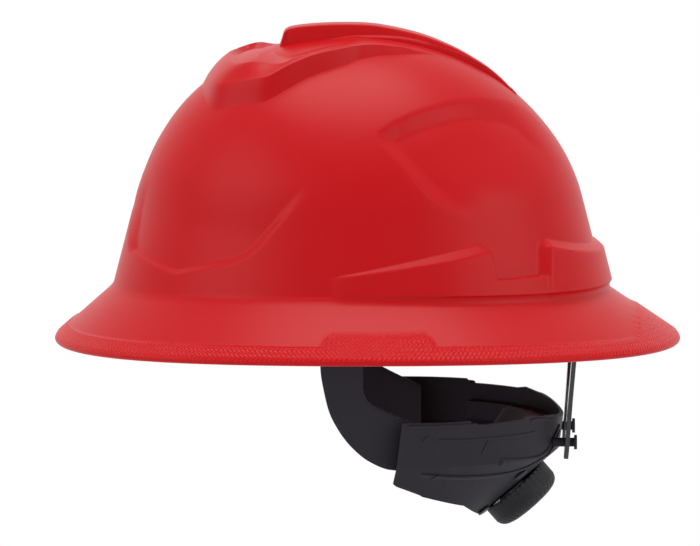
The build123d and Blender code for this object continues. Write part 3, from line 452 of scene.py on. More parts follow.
def brim_radius(phi, z):
    """Plan radius of the brim's flare at azimuth phi and height z: an ellipse that shrinks as z grows."""
    front = -EDGE_FRONT + z * SLOPE_FRONT
    rear = EDGE_REAR - z * SLOPE_REAR
    b = EDGE_SIDE - z * SLOPE_SIDE
    a, y0 = (rear - front) / 2, (rear + front) / 2
    p = (np.sin(phi) / b) ** 2 + (np.cos(phi) / a) ** 2
    q = np.cos(phi) * y0 / a**2
    return (q + np.sqrt(q**2 - p * ((y0 / a) ** 2 - 1))) / p


def rim_height(phi):
    """Height of the brim's lower edge: a long arch, higher at the sides than in front and behind."""
    z = np.zeros_like(phi)
    for _ in range(5):
        y = brim_radius(phi, z) * np.cos(phi)
        z = RIM_ARCH * (1 - ((y - RIM_MIDDLE) / RIM_REACH) ** 2)
    return z


def foot_height(phi):
    """Height at which the wall meets the flare, by halving a range of heights at every azimuth."""
    low, high = np.full_like(phi, 8.0), np.full_like(phi, 52.0)
    for _ in range(40):
        mid = (low + high) / 2
        outside = brim_radius(phi, mid) > wall_radius(mid) * squash_factor(phi)
        low, high = np.where(outside, mid, low), np.where(outside, high, mid)
    return (low + high) / 2


# Side views of the brow panel, of the rear scoop and of the belt's top line, as (y, z)
V_PANEL = [(-106.4, 80.3), (-107.4, 78), (-111.1, 66.6), (-113.3, 54.5), (-113.5, 48), (-112.5, 46.0),
           (-102.6, 43.0), (-93.1, 40.4), (-89.8, 40.0), (-79.1, 43.2), (-63.1, 47.6), (-57.7, 49.6),
           (-52.4, 53), (-48.8, 56.4), (-24.1, 85.2), (-10, 112), (-104, 112)]
SCOOP = [(8.7, 110.5), (18.1, 116.1), (30, 120.3), (44.3, 123.1), (52, 123.6), (60.1, 123.3), (72.9, 120.4),
         (82.3, 115.3), (96, 100), (112, 70), (66, 64), (44.3, 74.5), (35.5, 79.6), (25.6, 90.1),
         (11.8, 105.1)]
BELT_LINE = [(-200, 43.6), (-11.8, 43.6), (58.5, 57.6), (63.5, 57.4), (91.1, 57), (116, 48.7), (130, 47.5)]
# Azimuths of the rear block's and the wedge's ends, beside the pocket between them
POCKET_ENDS = (31.5, 49.0)


def belt_line(y):
    """Side view height of the top line of the wedge and of the rear block."""
    return np.interp(y, *zip(*BELT_LINE))


def fullness(psi, phi, table):
    """How far the brow stands proud of the plain dome: a table by psi, fading to the sides."""
    return curve(np.degrees(psi), table) * smooth(*BROW_TURN, np.abs(np.degrees(phi)))


def relief(y, z, psi, phi):
    """Height of the surface over the plain dome: brow fullness, sunken panels, belt, wedge and block."""
    rise = fullness(psi, phi, FULLNESS_TOP + FULLNESS_LOW)
    panel = ramp(0, PANEL_LIP, inside_distance(y, z, V_PANEL)) * (1 - smooth(*PANEL_FADE, z))
    scoop = ramp(0, SCOOP_LIP, inside_distance(y, z, SCOOP)) * (1 - smooth(*SCOOP_REAR, y))
    scoop = scoop * (1 - smooth(*SCOOP_FRONT, y) * (1 - smooth(*SCOOP_HIGH, z)))
    below = belt_line(y) - z
    (top_y, top_z), (knee_y, knee_z) = WEDGE_CORNER, WEDGE_KNEE
    end = np.where(z > knee_z, top_y + (top_z - z), knee_y + (knee_z - z) * WEDGE_END_SLOPE)
    grown = ramp(WEDGE_START, WEDGE_FULL, y)
    wedge = ramp(0, 1, below / (WEDGE_CHAMFER + WEDGE_GROWTH * grown))
    wedge = wedge * (WEDGE_LEAST + (1 - WEDGE_LEAST) * grown) * ramp(WEDGE_START, WEDGE_TIP_END, y)
    wedge = wedge * (1 - ramp(-WEDGE_END_LIP, WEDGE_END_LIP, y - end))
    block = BLOCK_PROUD * ramp(0, BLOCK_CHAMFER, below) * ramp(*BLOCK_START, y)
    base = ramp(0, BASE_LIP, BASE_TOP - z) * smooth(*BASE_START, y)
    belt = np.maximum(np.maximum(wedge, block), base)
    return rise - PANEL_DEPTH * panel - SCOOP_DEPTH * scoop + BELT_PROUD * belt


def azimuths(count, focus, width, gain):
    """Azimuths from -pi to pi, packed closer round the focus angles in degrees on both sides."""
    fine = np.linspace(-180, 180, 7201)
    density = 1 + gain * sum(np.exp(-(((np.abs(fine) - c) / width) ** 2)) for c in focus)
    total = np.concatenate([[0], np.cumsum((density[1:] + density[:-1]) / 2)])
    return np.radians(np.interp(np.linspace(0, total[-1], count, endpoint=False), total, fine))


def dome_rows(phi, joint):
    """Rows of the dome from the apex to the fillet, dense at the belt's lines: points, relief and normals."""
    k = squash_factor(phi)
    line = belt_line(wall_radius(55) * k * np.cos(phi))
    # Top of the wall, both sides of the belt's edge, end of its chamfer, both sides of the base's edge, joint
    levels = [WALL_LOW[1], line + 1, line - 1, line - 5, np.minimum(41.0, line - 5.4),
              np.minimum(38.6, line - 5.6), joint + FILLET_UP]
    marks = [np.zeros_like(phi)] + [wall_length(level) + np.zeros_like(phi) for level in levels]
    s = [a + (b - a) * np.linspace(0, 1, count, endpoint=False)[:, None]
         for a, b, count in zip(marks, marks[1:], (80, 24, 4, 5, 5, 6, 6))]
    r, z, psi = meridian(np.concatenate(s + [marks[-1][None]])[1:])
    x, y = r * k * np.sin(phi), r * k * np.cos(phi)
    rise = relief(y, z, psi, phi[None])
    return np.stack([x, y, z], -1), rise, squeezed_normal(x, y, r, psi)


def brim_rows(phi, down, rim):
    """Rows of the flare from the fillet to the rolled rim: points, distance from the edge, and band mask."""
    edge_z = rim + RIM_ABOVE
    reach = np.hypot(brim_radius(phi, down) - brim_radius(phi, edge_z), down - edge_z)
    away = reach * (1 - np.linspace(0, 1, 13)[1:-1, None] ** 0.9)
    away = away[(away > 10).all(axis=1)]
    tail = np.array([9.6, 9.0, 8.4, 7.8, 6.0, 4.5, 3.0, 1.6, 0.8])[:, None] * np.ones_like(phi)
    away = np.concatenate([away, tail])
    z = down + (edge_z - down) * (1 - away / reach)
    r = brim_radius(phi, z)
    y = r * np.cos(phi)
    slanted = PATCH_SLANT - np.abs(y - PATCH_MIDDLE) - away
    patch = np.minimum(np.minimum(PATCH_WIDTH - away, PATCH_END - y), np.minimum(y - PATCH_START, slanted))
    patches = np.maximum(ramp(0, BAND_LIP, patch), ramp(0, BAND_LIP, y - REAR_PATCH))
    band = np.maximum(1 - ramp(*BAND_EDGE, away), patches)
    lift = BAND_PROUD * band
    return around(phi, r + lift * sin(BRIM_LEAN), z + lift * cos(BRIM_LEAN)), away, band


def make_shell():
    """Outer dome, fillet, brim, rolled rim and the inside as one closed surface of rows round the axis."""
    phi = azimuths(540, POCKET_ENDS, 2.2, 2.4)
    joint = foot_height(phi)
    plain, rise, normal = dome_rows(phi, joint)
    down = joint - FILLET_DOWN
    t = np.linspace(0, 1, 10)[1:, None]
    corner = around(phi, brim_radius(phi, joint), joint)
    end = around(phi, brim_radius(phi, down), down)
    shares = [share[..., None] for share in ((1 - t) ** 2, 2 * t * (1 - t), t**2)]
    fillet = shares[0] * plain[-1] + shares[1] * corner + shares[2] * end
    fillet = fillet + (rise[-1] * (1 - t) ** 1.5)[..., None] * normal[-1]
    outer = np.concatenate([plain + normal * rise[..., None], fillet])

    rim = rim_height(phi)
    rim_r = brim_radius(phi, rim + RIM_ABOVE)
    brim, away, raised = brim_rows(phi, down, rim)
    roll = radians(52) - np.linspace(0.12, 1, 8)[:-1, None] * pi
    edge_r, edge_z = rim_r - ROLL_IN + ROLL_RADIUS * np.cos(roll), rim + ROLL_UP + ROLL_RADIUS * np.sin(roll)
    edge = around(phi, edge_r, edge_z)
    under_z = rim + RIM_ABOVE + (down - 1.0 - rim - RIM_ABOVE) * np.linspace(0, 1, 5)[:, None]
    under = around(phi, brim_radius(phi, under_z) - UNDER_IN, under_z - UNDER_DOWN)
    r, z, psi = meridian(wall_length(joint - 0.5) * np.linspace(1, 0, 12)[1:-1, None])
    inside = around(phi, r * squash_factor(phi), z)
    inside = inside - squeezed_normal(inside[..., 0], inside[..., 1], r, psi) * SHELL_DEPTH

    rings = np.concatenate([outer, brim, edge, under, inside])
    to_edge = len(outer) + len(brim)
    before, after = np.zeros((len(outer), len(phi))), np.zeros((len(rings) - to_edge, len(phi)))
    band = np.concatenate([before, raised, after])
    band[to_edge] = 1
    distance = np.concatenate([before + 60.0, away, after])
    lap = run_lengths(*(np.append(part, part[0]) for part in (rim_r * np.sin(phi), rim_r * np.cos(phi))))
    u = np.broadcast_to(lap, (len(rings), len(phi) + 1))
    v = np.concatenate([distance, distance[:, :1]], axis=1)
    shell = ring_piece("shell_surface", rings, ([0, 0, APEX], [0, 0, APEX - SHELL_DEPTH]), "shell_and_cradle",
                       "shell_red", 38, uv=np.stack([u, v], -1))
    mask = shell.data.attributes.new("band", "FLOAT", "POINT")
    mask.data.foreach_set("value", np.concatenate([band.ravel(), [0, 0]]).astype(np.float32))
    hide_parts("shell")


# ---- shell: the crest and its fin
# CREST: half of the foot's outline as (x, y). RECESS: half of the recess, then its mirror image.
CREST = [(0, -77.5), (12, -77.3), (20, -76.6), (28, -75.3), (34, -73.6), (38.3, -71.4), (41.3, -68.6),
         (44, -64.5), (47, -58.8), (50.2, -52.4), (52, -47.5), (52.2, -43), (50.3, -36.6), (47.5, -29.5),
         (44.8, -22.6), (42, -15.2), (38.2, -6.8), (34.2, 1), (30.6, 10.3), (25.6, 22.2), (19.8, 33.3),
         (14, 48.8), (9, 63), (5.5, 70), (0, 75)]
RECESS = [(0, -64.6), (12, -64.2), (21, -62.4), (28, -60.0), (34, -56.6), (35, -54), (32, -50), (22, -45),
          (9.2, -40.6), (9, -34)]
RECESS += [(-x, y) for x, y in RECESS[:0:-1]]
# Heights along Y as (y, z): the recess's floor, the top's middle line, the fin's top and the ledge beside it
BACK = [(-9.4, 147.7), (-2, 148.9), (4.4, 149.7), (18.2, 149.2), (32, 146.7), (45.8, 142.7), (59.6, 136.5),
        (66, 131.4), (71, 127.0), (76, 122.4), (80, 118)]
FLOOR = [(-50.7, 140.4), (-42.6, 141.6), (-34, 142.6), (-20.5, 145.4)] + BACK
RIDGE = [(-78, 138.2), (-72, 138.9), (-64.5, 140.2), (-56, 143.9), (-50, 145.4), (-45.5, 145.2), (-41, 143.6),
         (-36, 143.0), (-30, 143.9), (-20.5, 146.0), (-9.4, 147.9)] + BACK[1:]
FIN_TOP = [(-38.5, 146.5), (-36.4, 152.6), (-34, 154.0), (-27, 155.2), (-20, 155.8), (-13, 156.1),
           (-5, 156.2), (0.5, 156.1), (7.4, 155.6), (14.3, 154.5), (21.2, 153.1), (28, 151.4), (35, 149.2),
           (41.9, 146.4), (48.8, 143.2), (55.7, 139.3), (62.6, 134.9), (69.5, 129.2), (74, 124.6),
           (78, 120.2)]
LEDGE = [(-42, 141), (-40, 142.0), (-35.6, 143.4), (-20.5, 147.4), (-2, 150.6), (4.4, 150.8), (18, 150.3),
         (28.6, 148.5), (40, 144.6), (80, 120)]
# Upper edge of the crest's wall as (x, y, z)
WALL_TOP = [(0, -73.2, 131.2), (12, -73, 131.0), (20, -72.3, 130.8), (30, -70.2, 130.4), (37.5, -66, 130.2),
            (44, -59.7, 132.1), (47.5, -51, 134.2), (49.5, -43.6, 136.0), (48.8, -40.6, 137.3),
            (45.4, -30.5, 142.4), (41.5, -20.5, 145.9), (37.5, -9.4, 147.8), (33.8, -2, 148.9),
            (31, 4.4, 149.2), (25.5, 18.2, 147.6), (18.6, 32, 143.9), (13, 45.8, 138.6), (9.5, 56.2, 133.8),
            (6, 65.3, 129.3), (3, 70, 127), (0, 72.5, 125.4)]
# By y of the foot: how far the top's edge stands in from it, and how wide the top rounds up from that edge
TOP_INSET = [(-78, 4.2), (-66, 3.0), (-58, 2.4), (0, 2.0), (33, 2.0), (60, 2.2), (75, 2.5)]
TOP_ROUND = [(-78, 10), (-71, 9), (-62, 10), (-50, 12), (-38, 14), (-20, 22), (10, 30)]
# Half section of the fin from its foot up: half width, height over a level, and which of its three levels
FIN_HALF = [(8.6, -6.0, 0), (8.4, -0.3, 0), (8.2, 0.2, 0), (7.7, -0.35, 1), (7.4, -0.05, 1), (6.9, 0.0, 1),
            (6.6, 0.2, 1), (6.4, 0.7, 1), (5.75, -0.7, 2), (5.5, -0.3, 2), (5.1, -0.08, 2), (4.2, 0.0, 2),
            (0.0, 0.1, 2)]


def polar_outline(phi, half):
    """Plan radius of a mirrored half outline at azimuth phi, its corners evened out."""
    px, py = np.array(half, float).T
    angle = np.arctan2(px, py)
    order = np.argsort(angle)
    table = list(zip(angle[order], np.hypot(px, py)[order]))
    return evened([np.abs(phi + step) for step in (-0.03, -0.01, 0.01, 0.03)], table)


def dome_height(phi, r):
    """Height of the dome with its brow fullness at azimuth phi and plan radius r, near the crest."""
    e2 = (r * np.sin(phi) / SQUEEZE) ** 2 + (r * np.cos(phi)) ** 2
    psi = np.arcsin(np.minimum(np.sqrt(e2) / ARC_RADIUS, 0.99))
    radius = ARC_RADIUS + fullness(psi, phi, FULLNESS_TOP + [(90, 3.2)])
    return ARC_CENTRE + np.sqrt(np.maximum(radius**2 - e2, 100))


def make_crest():
    """Closed surface: a domed top with a recess before the fin, a wall down to the dome, a sunk underside.
    The top rises from the wall's edge to the ridge line, steeply at first, and drops inside the recess."""
    phi = np.linspace(-pi, pi, 560, endpoint=False)
    foot = polar_outline(phi, CREST)
    foot_y = foot * np.cos(phi)
    inset = curve(foot_y, TOP_INSET)
    edge = foot - inset
    r = edge * (0.02 + 0.98 * np.linspace(0, 1, 101)[:, None])
    x, y = r * np.sin(phi), r * np.cos(phi)
    wall_top = np.array(WALL_TOP, float)
    edge_z = curve(np.abs(phi), sorted(zip(np.arctan2(wall_top[:, 0], wall_top[:, 1]), wall_top[:, 2])))
    t = np.clip((edge - r) / curve(foot_y, TOP_ROUND), 0, 1)
    bend = 0.3 + 0.5 * (1 - smooth(-64, -46, y))
    ridge = evened([y + step for step in (-3.6, -1.2, 1.2, 3.6)], RIDGE)
    ridge = ridge - x**2 / CREST_CROWN * (1 - smooth(-46, -30, y))
    z = edge_z + (ridge - edge_z) * t * (1 + bend - bend * t)
    recess = ramp(0, RECESS_LIP, inside_distance(x, y, RECESS)) * (0.45 + 0.55 * smooth(-66, -58, y))
    z = z - RECESS_DEPTH * recess
    t = np.array([0.06, 0.16, 0.3, 0.5, 0.7, 0.85, 0.95, 1.0])[:, None]
    start = np.maximum(z[-1] - 0.25, dome_height(phi, edge) + 0.05)
    ground = dome_height(phi, foot) - 0.05
    wall_z = start + (ground - start) * (0.35 * t + 0.65 * t * t * (3 - 2 * t))
    sunk_r = np.concatenate([foot + 0.4, foot - 3.0, foot * 0.6, foot * 0.25]).reshape(4, -1)
    sunk_z = dome_height(phi, sunk_r) - np.array([[1.2], [4.0], [CREST_SINK], [CREST_SINK]])
    all_r = np.concatenate([r, edge + inset * t, sunk_r])
    all_z = np.concatenate([np.maximum(z, dome_height(phi, r) - 3.0), wall_z, sunk_z])
    tips = ([0, 0, float(curve(np.array([0.0]), RIDGE)[0])], [0, 0, APEX - 3.6])
    ring_piece("shell_crest", around(phi, all_r, all_z), tips, "shell_and_cradle", "shell_red", 30)


def make_fin():
    """Centre fin and its ledge: sections across the hat, swept along Y under a given top line."""
    y = np.concatenate([np.linspace(-40.5, -35, 14), np.linspace(-34, 66, 90), np.linspace(67, 77.5, 14)])
    floor = curve(y, FLOOR)
    top = np.maximum(curve(y, FIN_TOP), floor + 0.05)
    first_y, first_z = FIN_TOP[0]
    top = np.where(y < first_y, floor + (first_z - floor) * ramp(y[0], first_y, y), top)
    ledge = np.maximum(np.minimum(curve(y, LEDGE), top - 0.3), floor - 0.4)
    taper = 1 - 0.7 * smooth(20, 77, y)
    level = np.stack([floor, ledge, top])
    width = np.stack([half * taper for half, _, _ in FIN_HALF])
    height = np.maximum.accumulate(np.stack([level[which] + over for _, over, which in FIN_HALF]), axis=0)
    width = np.concatenate([width, -width[-2::-1]]).T
    height = np.concatenate([height, height[-2::-1]]).T
    rings = np.stack([width, np.broadcast_to(y[:, None], width.shape), height], -1)
    tips = [[0, y[k] + step, float(floor[k]) - 3] for k, step in ((0, -0.3), (-1, 0.3))]
    ring_piece("shell_fin", rings, tips, "shell_and_cradle", "shell_red", 30)


# ---- suspension: edges of the CAD nodes softened
# Width of the rounding for each CAD node that is shown as a softened copy
SOFT_WIDTHS = {"front_left_key": 0.8, "front_right_key": 0.8, "rear_left_key": 0.8, "rear_right_key": 0.8,
               "headband": 0.7, "nape_housing": 0.7, "nape_liner": 0.5, "housing_rivets": 0.4,
               "left_hanger": 0.5, "right_hanger": 0.5, "shaft_clip": 0.15, "click_spring": 0.2}


def cut_below_band(build):
    """Take off the headband's arms, which make_arm draws, at 0.2 mm under its band, and close the cut."""
    whole = build.verts[:] + build.edges[:] + build.faces[:]
    cut = bmesh.ops.bisect_plane(build, geom=whole, plane_co=(0, 0, -0.2 * MM), plane_no=(0, 0, -1),
                                 clear_outer=True)
    rim = [part for part in cut["geom_cut"] if isinstance(part, bmesh.types.BMEdge)]
    bmesh.ops.holes_fill(build, edges=rim, sides=0)


def rake_front(build):
    """Lean the front edge of the wings forward, by up to 6 mm at their foot."""
    for vert in build.verts:
        if vert.co.y < 23.5 * MM:
            vert.co.y -= 6.0 * MM * min(max((-38 * MM - vert.co.z) / (34 * MM), 0), 1)


def soften(name, width):
    """Copy of a CAD node with its corners merged and its edges rounded, shown in the node's place."""
    obj = new_object(name + "_soft", NODES[name].data.copy())
    build = bmesh.new()
    build.from_mesh(obj.data)
    bmesh.ops.remove_doubles(build, verts=build.verts, dist=2e-6)
    bmesh.ops.dissolve_limit(build, angle_limit=radians(0.6), verts=build.verts, edges=build.edges)
    if name == "headband":
        cut_below_band(build)
    if name == "nape_housing":
        rake_front(build)
    build.to_mesh(obj.data)
    build.free()
    bevel = obj.modifiers.new("rounded_edges", "BEVEL")
    bevel.width = width * MM
    bevel.segments = 2
    bevel.limit_method = "ANGLE"
    bevel.angle_limit = radians(30)
    bevel.use_clamp_overlap = True
    obj.data.shade_smooth()
    obj.data.set_sharp_from_angle(angle=radians(40))
    obj.data.materials.clear()
    obj.data.materials.append(LOOKS[SLOT_OF[name]])
    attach(obj, BODY_OF[name])
    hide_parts(name)


# ---- suspension: arms, straps, pads, sockets
# Edge lines of a headband arm as (length, y, z)
ARM_FRONT = [(0, -19.0, 6), (7, -19.0, 1), (14, -18.7, -6), (24, -17.1, -15.8), (34, -14.6, -26.0),
             (46, -9.5, -36.2), (56, -3.0, -44.6), (66, 5.0, -51.2), (77, 15.5, -55.6), (92, 31.0, -57.0)]
ARM_REAR = [(0, 1.8, 6), (12, 1.8, 0), (24, 1.9, -8), (36, 1.9, -14), (46, 3.4, -19.4), (53, 7.2, -22.9),
            (62, 13.0, -25.9), (77, 23.0, -30.5), (92, 31.0, -34.0)]


def make_arm(name, side):
    """Headband arm: a leaning strip between two edge lines, flat at first and then round the nape."""
    u = np.linspace(0, ARM_FRONT[-1][0], 90)[:, None]
    t = circle(44)
    across = 0.5 - 0.5 * boxed(np.cos(t), 0.3)
    deep = ARM_HALF_DEPTH * boxed(np.sin(t), 0.3)
    front_y, front_z, rear_y, rear_z = (
        curve(u, [(row[0], row[k]) for row in table]) for table in (ARM_FRONT, ARM_REAR) for k in (1, 2)
    )
    y = front_y + (rear_y - front_y) * across
    z = front_z + (rear_z - front_z) * across
    bead = 0.35 * np.exp(-(((across - 0.5) ** 2 - 0.16) / 0.02) ** 2) * (deep > 0)
    r = ARM_RADIUS - tan(ARM_LEAN) * np.maximum(-z, 0) + deep + bead
    x = np.sqrt(np.maximum(r**2 - np.maximum(y - ARM_FLAT_TO, 0) ** 2, 1)) * side
    rings = np.stack([x, y, z], -1)
    ring_piece(name + "_arm", rings, end_tips(rings), "shell_and_cradle", "band_plastic", 50)


def make_strap(name, azimuth, lift):
    """Webbing of flat oval section: an upright tail, half an ellipse under the dome, and a second tail."""
    turn = np.linspace(0, pi, 97)
    tail = np.linspace(STRAP_END, STRAP_BASE - 1, 14)
    straight = np.full(14, STRAP_RADIUS)
    r = np.concatenate([straight, STRAP_RADIUS * np.cos(turn), -straight])
    z = np.concatenate([tail, STRAP_BASE + (STRAP_RISE + lift) * np.sin(turn), tail[::-1]])
    tangent = np.stack([np.gradient(r), np.gradient(z)], 1)
    tangent /= np.linalg.norm(tangent, axis=1, keepdims=True)
    t = circle(24)
    wide = STRAP_HALF_WIDTH * boxed(np.cos(t), 0.45)
    thick = STRAP_HALF_DEPTH * boxed(np.sin(t), 0.5)
    radial = r[:, None] + tangent[:, 1:] * thick
    height = z[:, None] - tangent[:, :1] * thick
    sn, cs = sin(azimuth), cos(azimuth)
    rings = np.stack([radial * sn + wide * cs, radial * cs - wide * sn, height], -1)
    uv = np.stack(np.broadcast_arrays(run_lengths(r, z)[:, None], np.append(wide, wide[0])[None]), -1)
    strap = ring_piece(name + "_webbing", rings, end_tips(rings), "shell_and_cradle", "strap_web", 60, uv=uv)
    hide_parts(name)


def there_and_back(values):
    """Values across a section's outside, then back across its inside without its two corners."""
    return np.concatenate([values, values[::-1][1:-1]])


def pad_profile(across, seam, seam_width):
    """Share of a pad's swell across its section, -1 to 1, and its stitched groove near either edge."""
    rest = (1 - np.abs(across) ** 5) ** 0.5
    return rest, np.exp(-(((np.abs(across) - seam) / seam_width) ** 2))


def make_brow_pad():
    """Sweatband along an ellipse inside the band: flat outside, crowned inside with a seam groove."""
    turn = np.linspace(-1, 1, 141)[:, None]
    theta = BROW_TURN_HALF * turn
    fade = (1 - np.abs(turn) ** 14) ** 0.5
    radius = 1 / np.sqrt((np.sin(theta) / BROW_SIDE) ** 2 + (np.cos(theta) / BROW_FRONT) ** 2)
    q = np.linspace(-1, 1, 31)
    rest, groove = pad_profile(q, 0.80, 0.045)
    puff = 1 + 0.08 * np.sin(turn * 46) * rest
    thick = (BROW_EDGE + BROW_SWELL * rest - 0.9 * groove) * puff * np.maximum(fade, 0.15)
    deep = np.concatenate([np.zeros_like(thick), thick[:, ::-1][:, 1:-1]], axis=1)
    z = BROW_MIDDLE + BROW_HALF * there_and_back(q) * (0.86 + 0.14 * fade)
    rings = around(pi - theta, radius - deep, z)
    pad = ring_piece("brow_pad_form", rings, end_tips(rings), "shell_and_cradle", "pad_cloth", 70)
    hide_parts("brow_pad")


def make_sockets():
    """Four moulded socket blocks under the dome: rounded boxes square to their key's azimuth."""
    t = circle(40)
    wide, deep = SOCKET_HALF_WIDTH * boxed(np.cos(t), 0.25), boxed(np.sin(t), 0.25)
    z = np.array([SOCKET_FOOT, SOCKET_FOOT, 27.2, 44.6, 45.8, SOCKET_TOP])[:, None]
    size = np.array([0.3, 0.94, 1.0, 1.0, 0.94, 0.7])[:, None]
    outside = SOCKET_OUTSIDE + (SOCKET_TOP - z) * SOCKET_SPREAD
    r = (SOCKET_INSIDE + outside) / 2 + size * deep * (outside - SOCKET_INSIDE) / 2
    for label, turn in (("front_left", pi - STRAP_TURN), ("front_right", STRAP_TURN - pi),
                        ("rear_left", STRAP_TURN), ("rear_right", -STRAP_TURN)):
        sn, cs = sin(turn), cos(turn)
        x, y = r * sn + size * wide * cs, r * cs - size * wide * sn
        rings = np.stack([x, y, np.broadcast_to(z, r.shape)], -1)
        tips = ([104.5 * sn, 104.5 * cs, SOCKET_FOOT], [103 * sn, 103 * cs, SOCKET_TOP])
        ring_piece("socket_" + label, rings, tips, "shell_and_cradle", "shell_red", 40)


# ---- nape unit
def wall_ring(depth, z):
    """Radius of the leaning nape wall at height z, offset by depth."""
    return NAPE_WALL + depth / cos(LEAN) + tan(LEAN) * (z - NAPE_WALL_Z)


def cone_ring(depth, z):
    """Radius of the cone under the knob at height z, offset by depth."""
    return CONE_RADIUS + tan(TILT) * (z - KNOB_Z + depth * sin(TILT)) + depth * cos(TILT)


def on_housing(a, z, depth):
    """Point of the housing's skin: arc length a from the rear centre, height z, offset depth."""
    turn = np.minimum(a / NAPE_ARC, pi / 2)
    r = np.minimum(wall_ring(depth, z), cone_ring(depth, z))
    ahead = np.maximum(a - NAPE_ARC * pi / 2, 0)
    return np.stack([r * np.sin(turn), NAPE_Y + r * np.cos(turn) - ahead, z], -1)


# Moulded lines on each wing: width, height, and a route of (arc length from the rear centre, z)
RIDGES = {
    "panel_line": (1.6, 0.8, [(70, -51.5), (64, -52.4), (43, -53.4), (34, -52), (24, -45), (17, -40.5)]),
    "step_line": (2.2, 0.7, [(112, -57.5), (102, -59), (84, -60.4), (62, -61), (43, -59.6), (28, -52.5),
                             (14, -43.5)]),
    "top_border": (2.4, 0.7, [(119, -32.8), (100, -32.8), (84, -33.0)]),
    "rear_border": (2.4, 0.7, [(52, -34.2), (40, -34.6), (28, -36.4)]),
    "cross_rib": (1.4, 0.6, [(77, -39.5), (81, -48)]),
    "boss": (4.2, 1.5, [(70.5, -53.4), (67.0, -53.6)]),
    "catch": (1.7, 1.2, [(106, -60.5), (101.5, -58.0)]),
    "front_tick": (1.4, 0.8, [(111.5, -40.5), (108.5, -37.2)]),
    "long_rib": (1.6, 0.55, [(104, -39.6), (90, -40.2), (70, -40.4), (46, -40.4)]),
}
# Section of a ridge: place across as a share of its width, rise as a share of its height or, below 0, depth
RIDGE_ACROSS = [-0.5, -0.46, -0.36, -0.2, 0.2, 0.36, 0.46, 0.5, 0.3, -0.3]
RIDGE_RISE = [-0.7, 0.35, 0.8, 1.0, 1.0, 0.8, 0.35, -0.7, -0.9, -0.9]


def make_ridge(name, route, width, height, side):
    """Moulded ridge on the housing's skin: a low rounded section along a smooth route."""
    pts = np.array(route, float)
    length = run_lengths(*pts.T)
    s = np.linspace(0, length[-1], 70)
    a, z = (curve(s, list(zip(length, pts[:, k])))[:, None] for k in (0, 1))
    da, dz = np.gradient(a, axis=0), np.gradient(z, axis=0)
    norm = np.hypot(da, dz)
    end = (np.minimum(1, np.minimum(s, length[-1] - s) / (0.6 * width)) ** 0.5)[:, None]
    cross = np.array(RIDGE_ACROSS) * width * (0.3 + 0.7 * end)
    share = np.array(RIDGE_RISE)
    depth = -0.3 + np.where(share > 0, share * height * end, share)
    rings = on_housing(a - dz / norm * cross, z + da / norm * cross, depth) * np.array([side, 1, 1])
    ring_piece(name, rings, end_tips(rings), "nape_unit", "nape_plastic", 40)


def nape_section(share, depth):
    """Radius and height down the inside of the nape unit, by a share of 0 to 1: the wall, then the cone."""
    mid_z = NAPE_CORNER - 0.85 * (depth + 0.3)
    top = (wall_ring(depth, NAPE_TOP), np.full_like(depth, NAPE_TOP))
    mid = (wall_ring(depth, mid_z), mid_z)
    low = (CONE_RADIUS + NAPE_SLANT * sin(TILT) + depth * cos(TILT),
           KNOB_Z + NAPE_SLANT * cos(TILT) - depth * sin(TILT))
    upper, lower = np.clip(share * 3, 0, 1), np.clip((share * 3 - 1) / 2, 0, 1)
    return [top[k] + (mid[k] - top[k]) * upper + (low[k] - mid[k]) * lower for k in (0, 1)]


def make_nape_pad():
    """Nape cushion: section down the wall and the cone, crowned towards the neck, swept round the nape axis.
    Its back dips to clear the hub under the knob."""
    turn = np.linspace(-1, 1, 121)[:, None]
    theta = NAPE_TURN_HALF * turn
    fade = np.maximum((1 - np.abs(turn) ** 12) ** 0.5, 0.12)
    v = np.linspace(0, 1, 33)
    rest, groove = pad_profile(2 * v - 1, 0.82, 0.05)
    thick = (NAPE_EDGE + NAPE_SWELL * rest - 0.8 * groove) * fade
    depth = np.concatenate([np.full_like(thick, NAPE_BACK), (NAPE_BACK - thick)[:, ::-1][:, 1:-1]], axis=1)
    r, z = nape_section(there_and_back(v), depth)
    x, y = r * np.sin(theta), NAPE_Y + r * np.cos(theta)
    away = np.hypot(x, (y - KNOB_Y) * sin(TILT) + (z - KNOB_Z) * cos(TILT))
    dip = np.where(np.arange(depth.shape[1]) < len(v), NAPE_DIP * (1 - smooth(6.0, 8.5, away)), 0)
    rings = np.stack([x, y - dip * cos(TILT), z + dip * sin(TILT)], -1)
    pad = ring_piece("nape_pad_form", rings, end_tips(rings), "nape_unit", "pad_cloth", 70)
    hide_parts("nape_pad")


# Knob's profile from its skirt to the middle of its face: radius, height, and how far the ribs cut in
KNOB_PROFILE = [(16.2, 7.6, 0), (16.2, 0.2, 0), (17.6, 0.0, 0), (18.2, 0.25, 0), (18.45, 0.8, 0.3),
                (18.5, 1.5, 1), (18.5, 4.0, 1), (18.5, 6.5, 1), (18.4, 8.6, 1), (18.0, 9.8, 0.9),
                (17.3, 10.9, 0.6), (16.3, 11.8, 0.25), (15.0, 12.5, 0), (13.4, 12.9, 0), (12.4, 12.95, 0),
                (12.0, 12.6, 0), (11.0, 12.35, 0), (10.4, 12.45, 0), (10.0, 12.85, 0), (8.0, 13.0, 0),
                (4.0, 13.1, 0)]


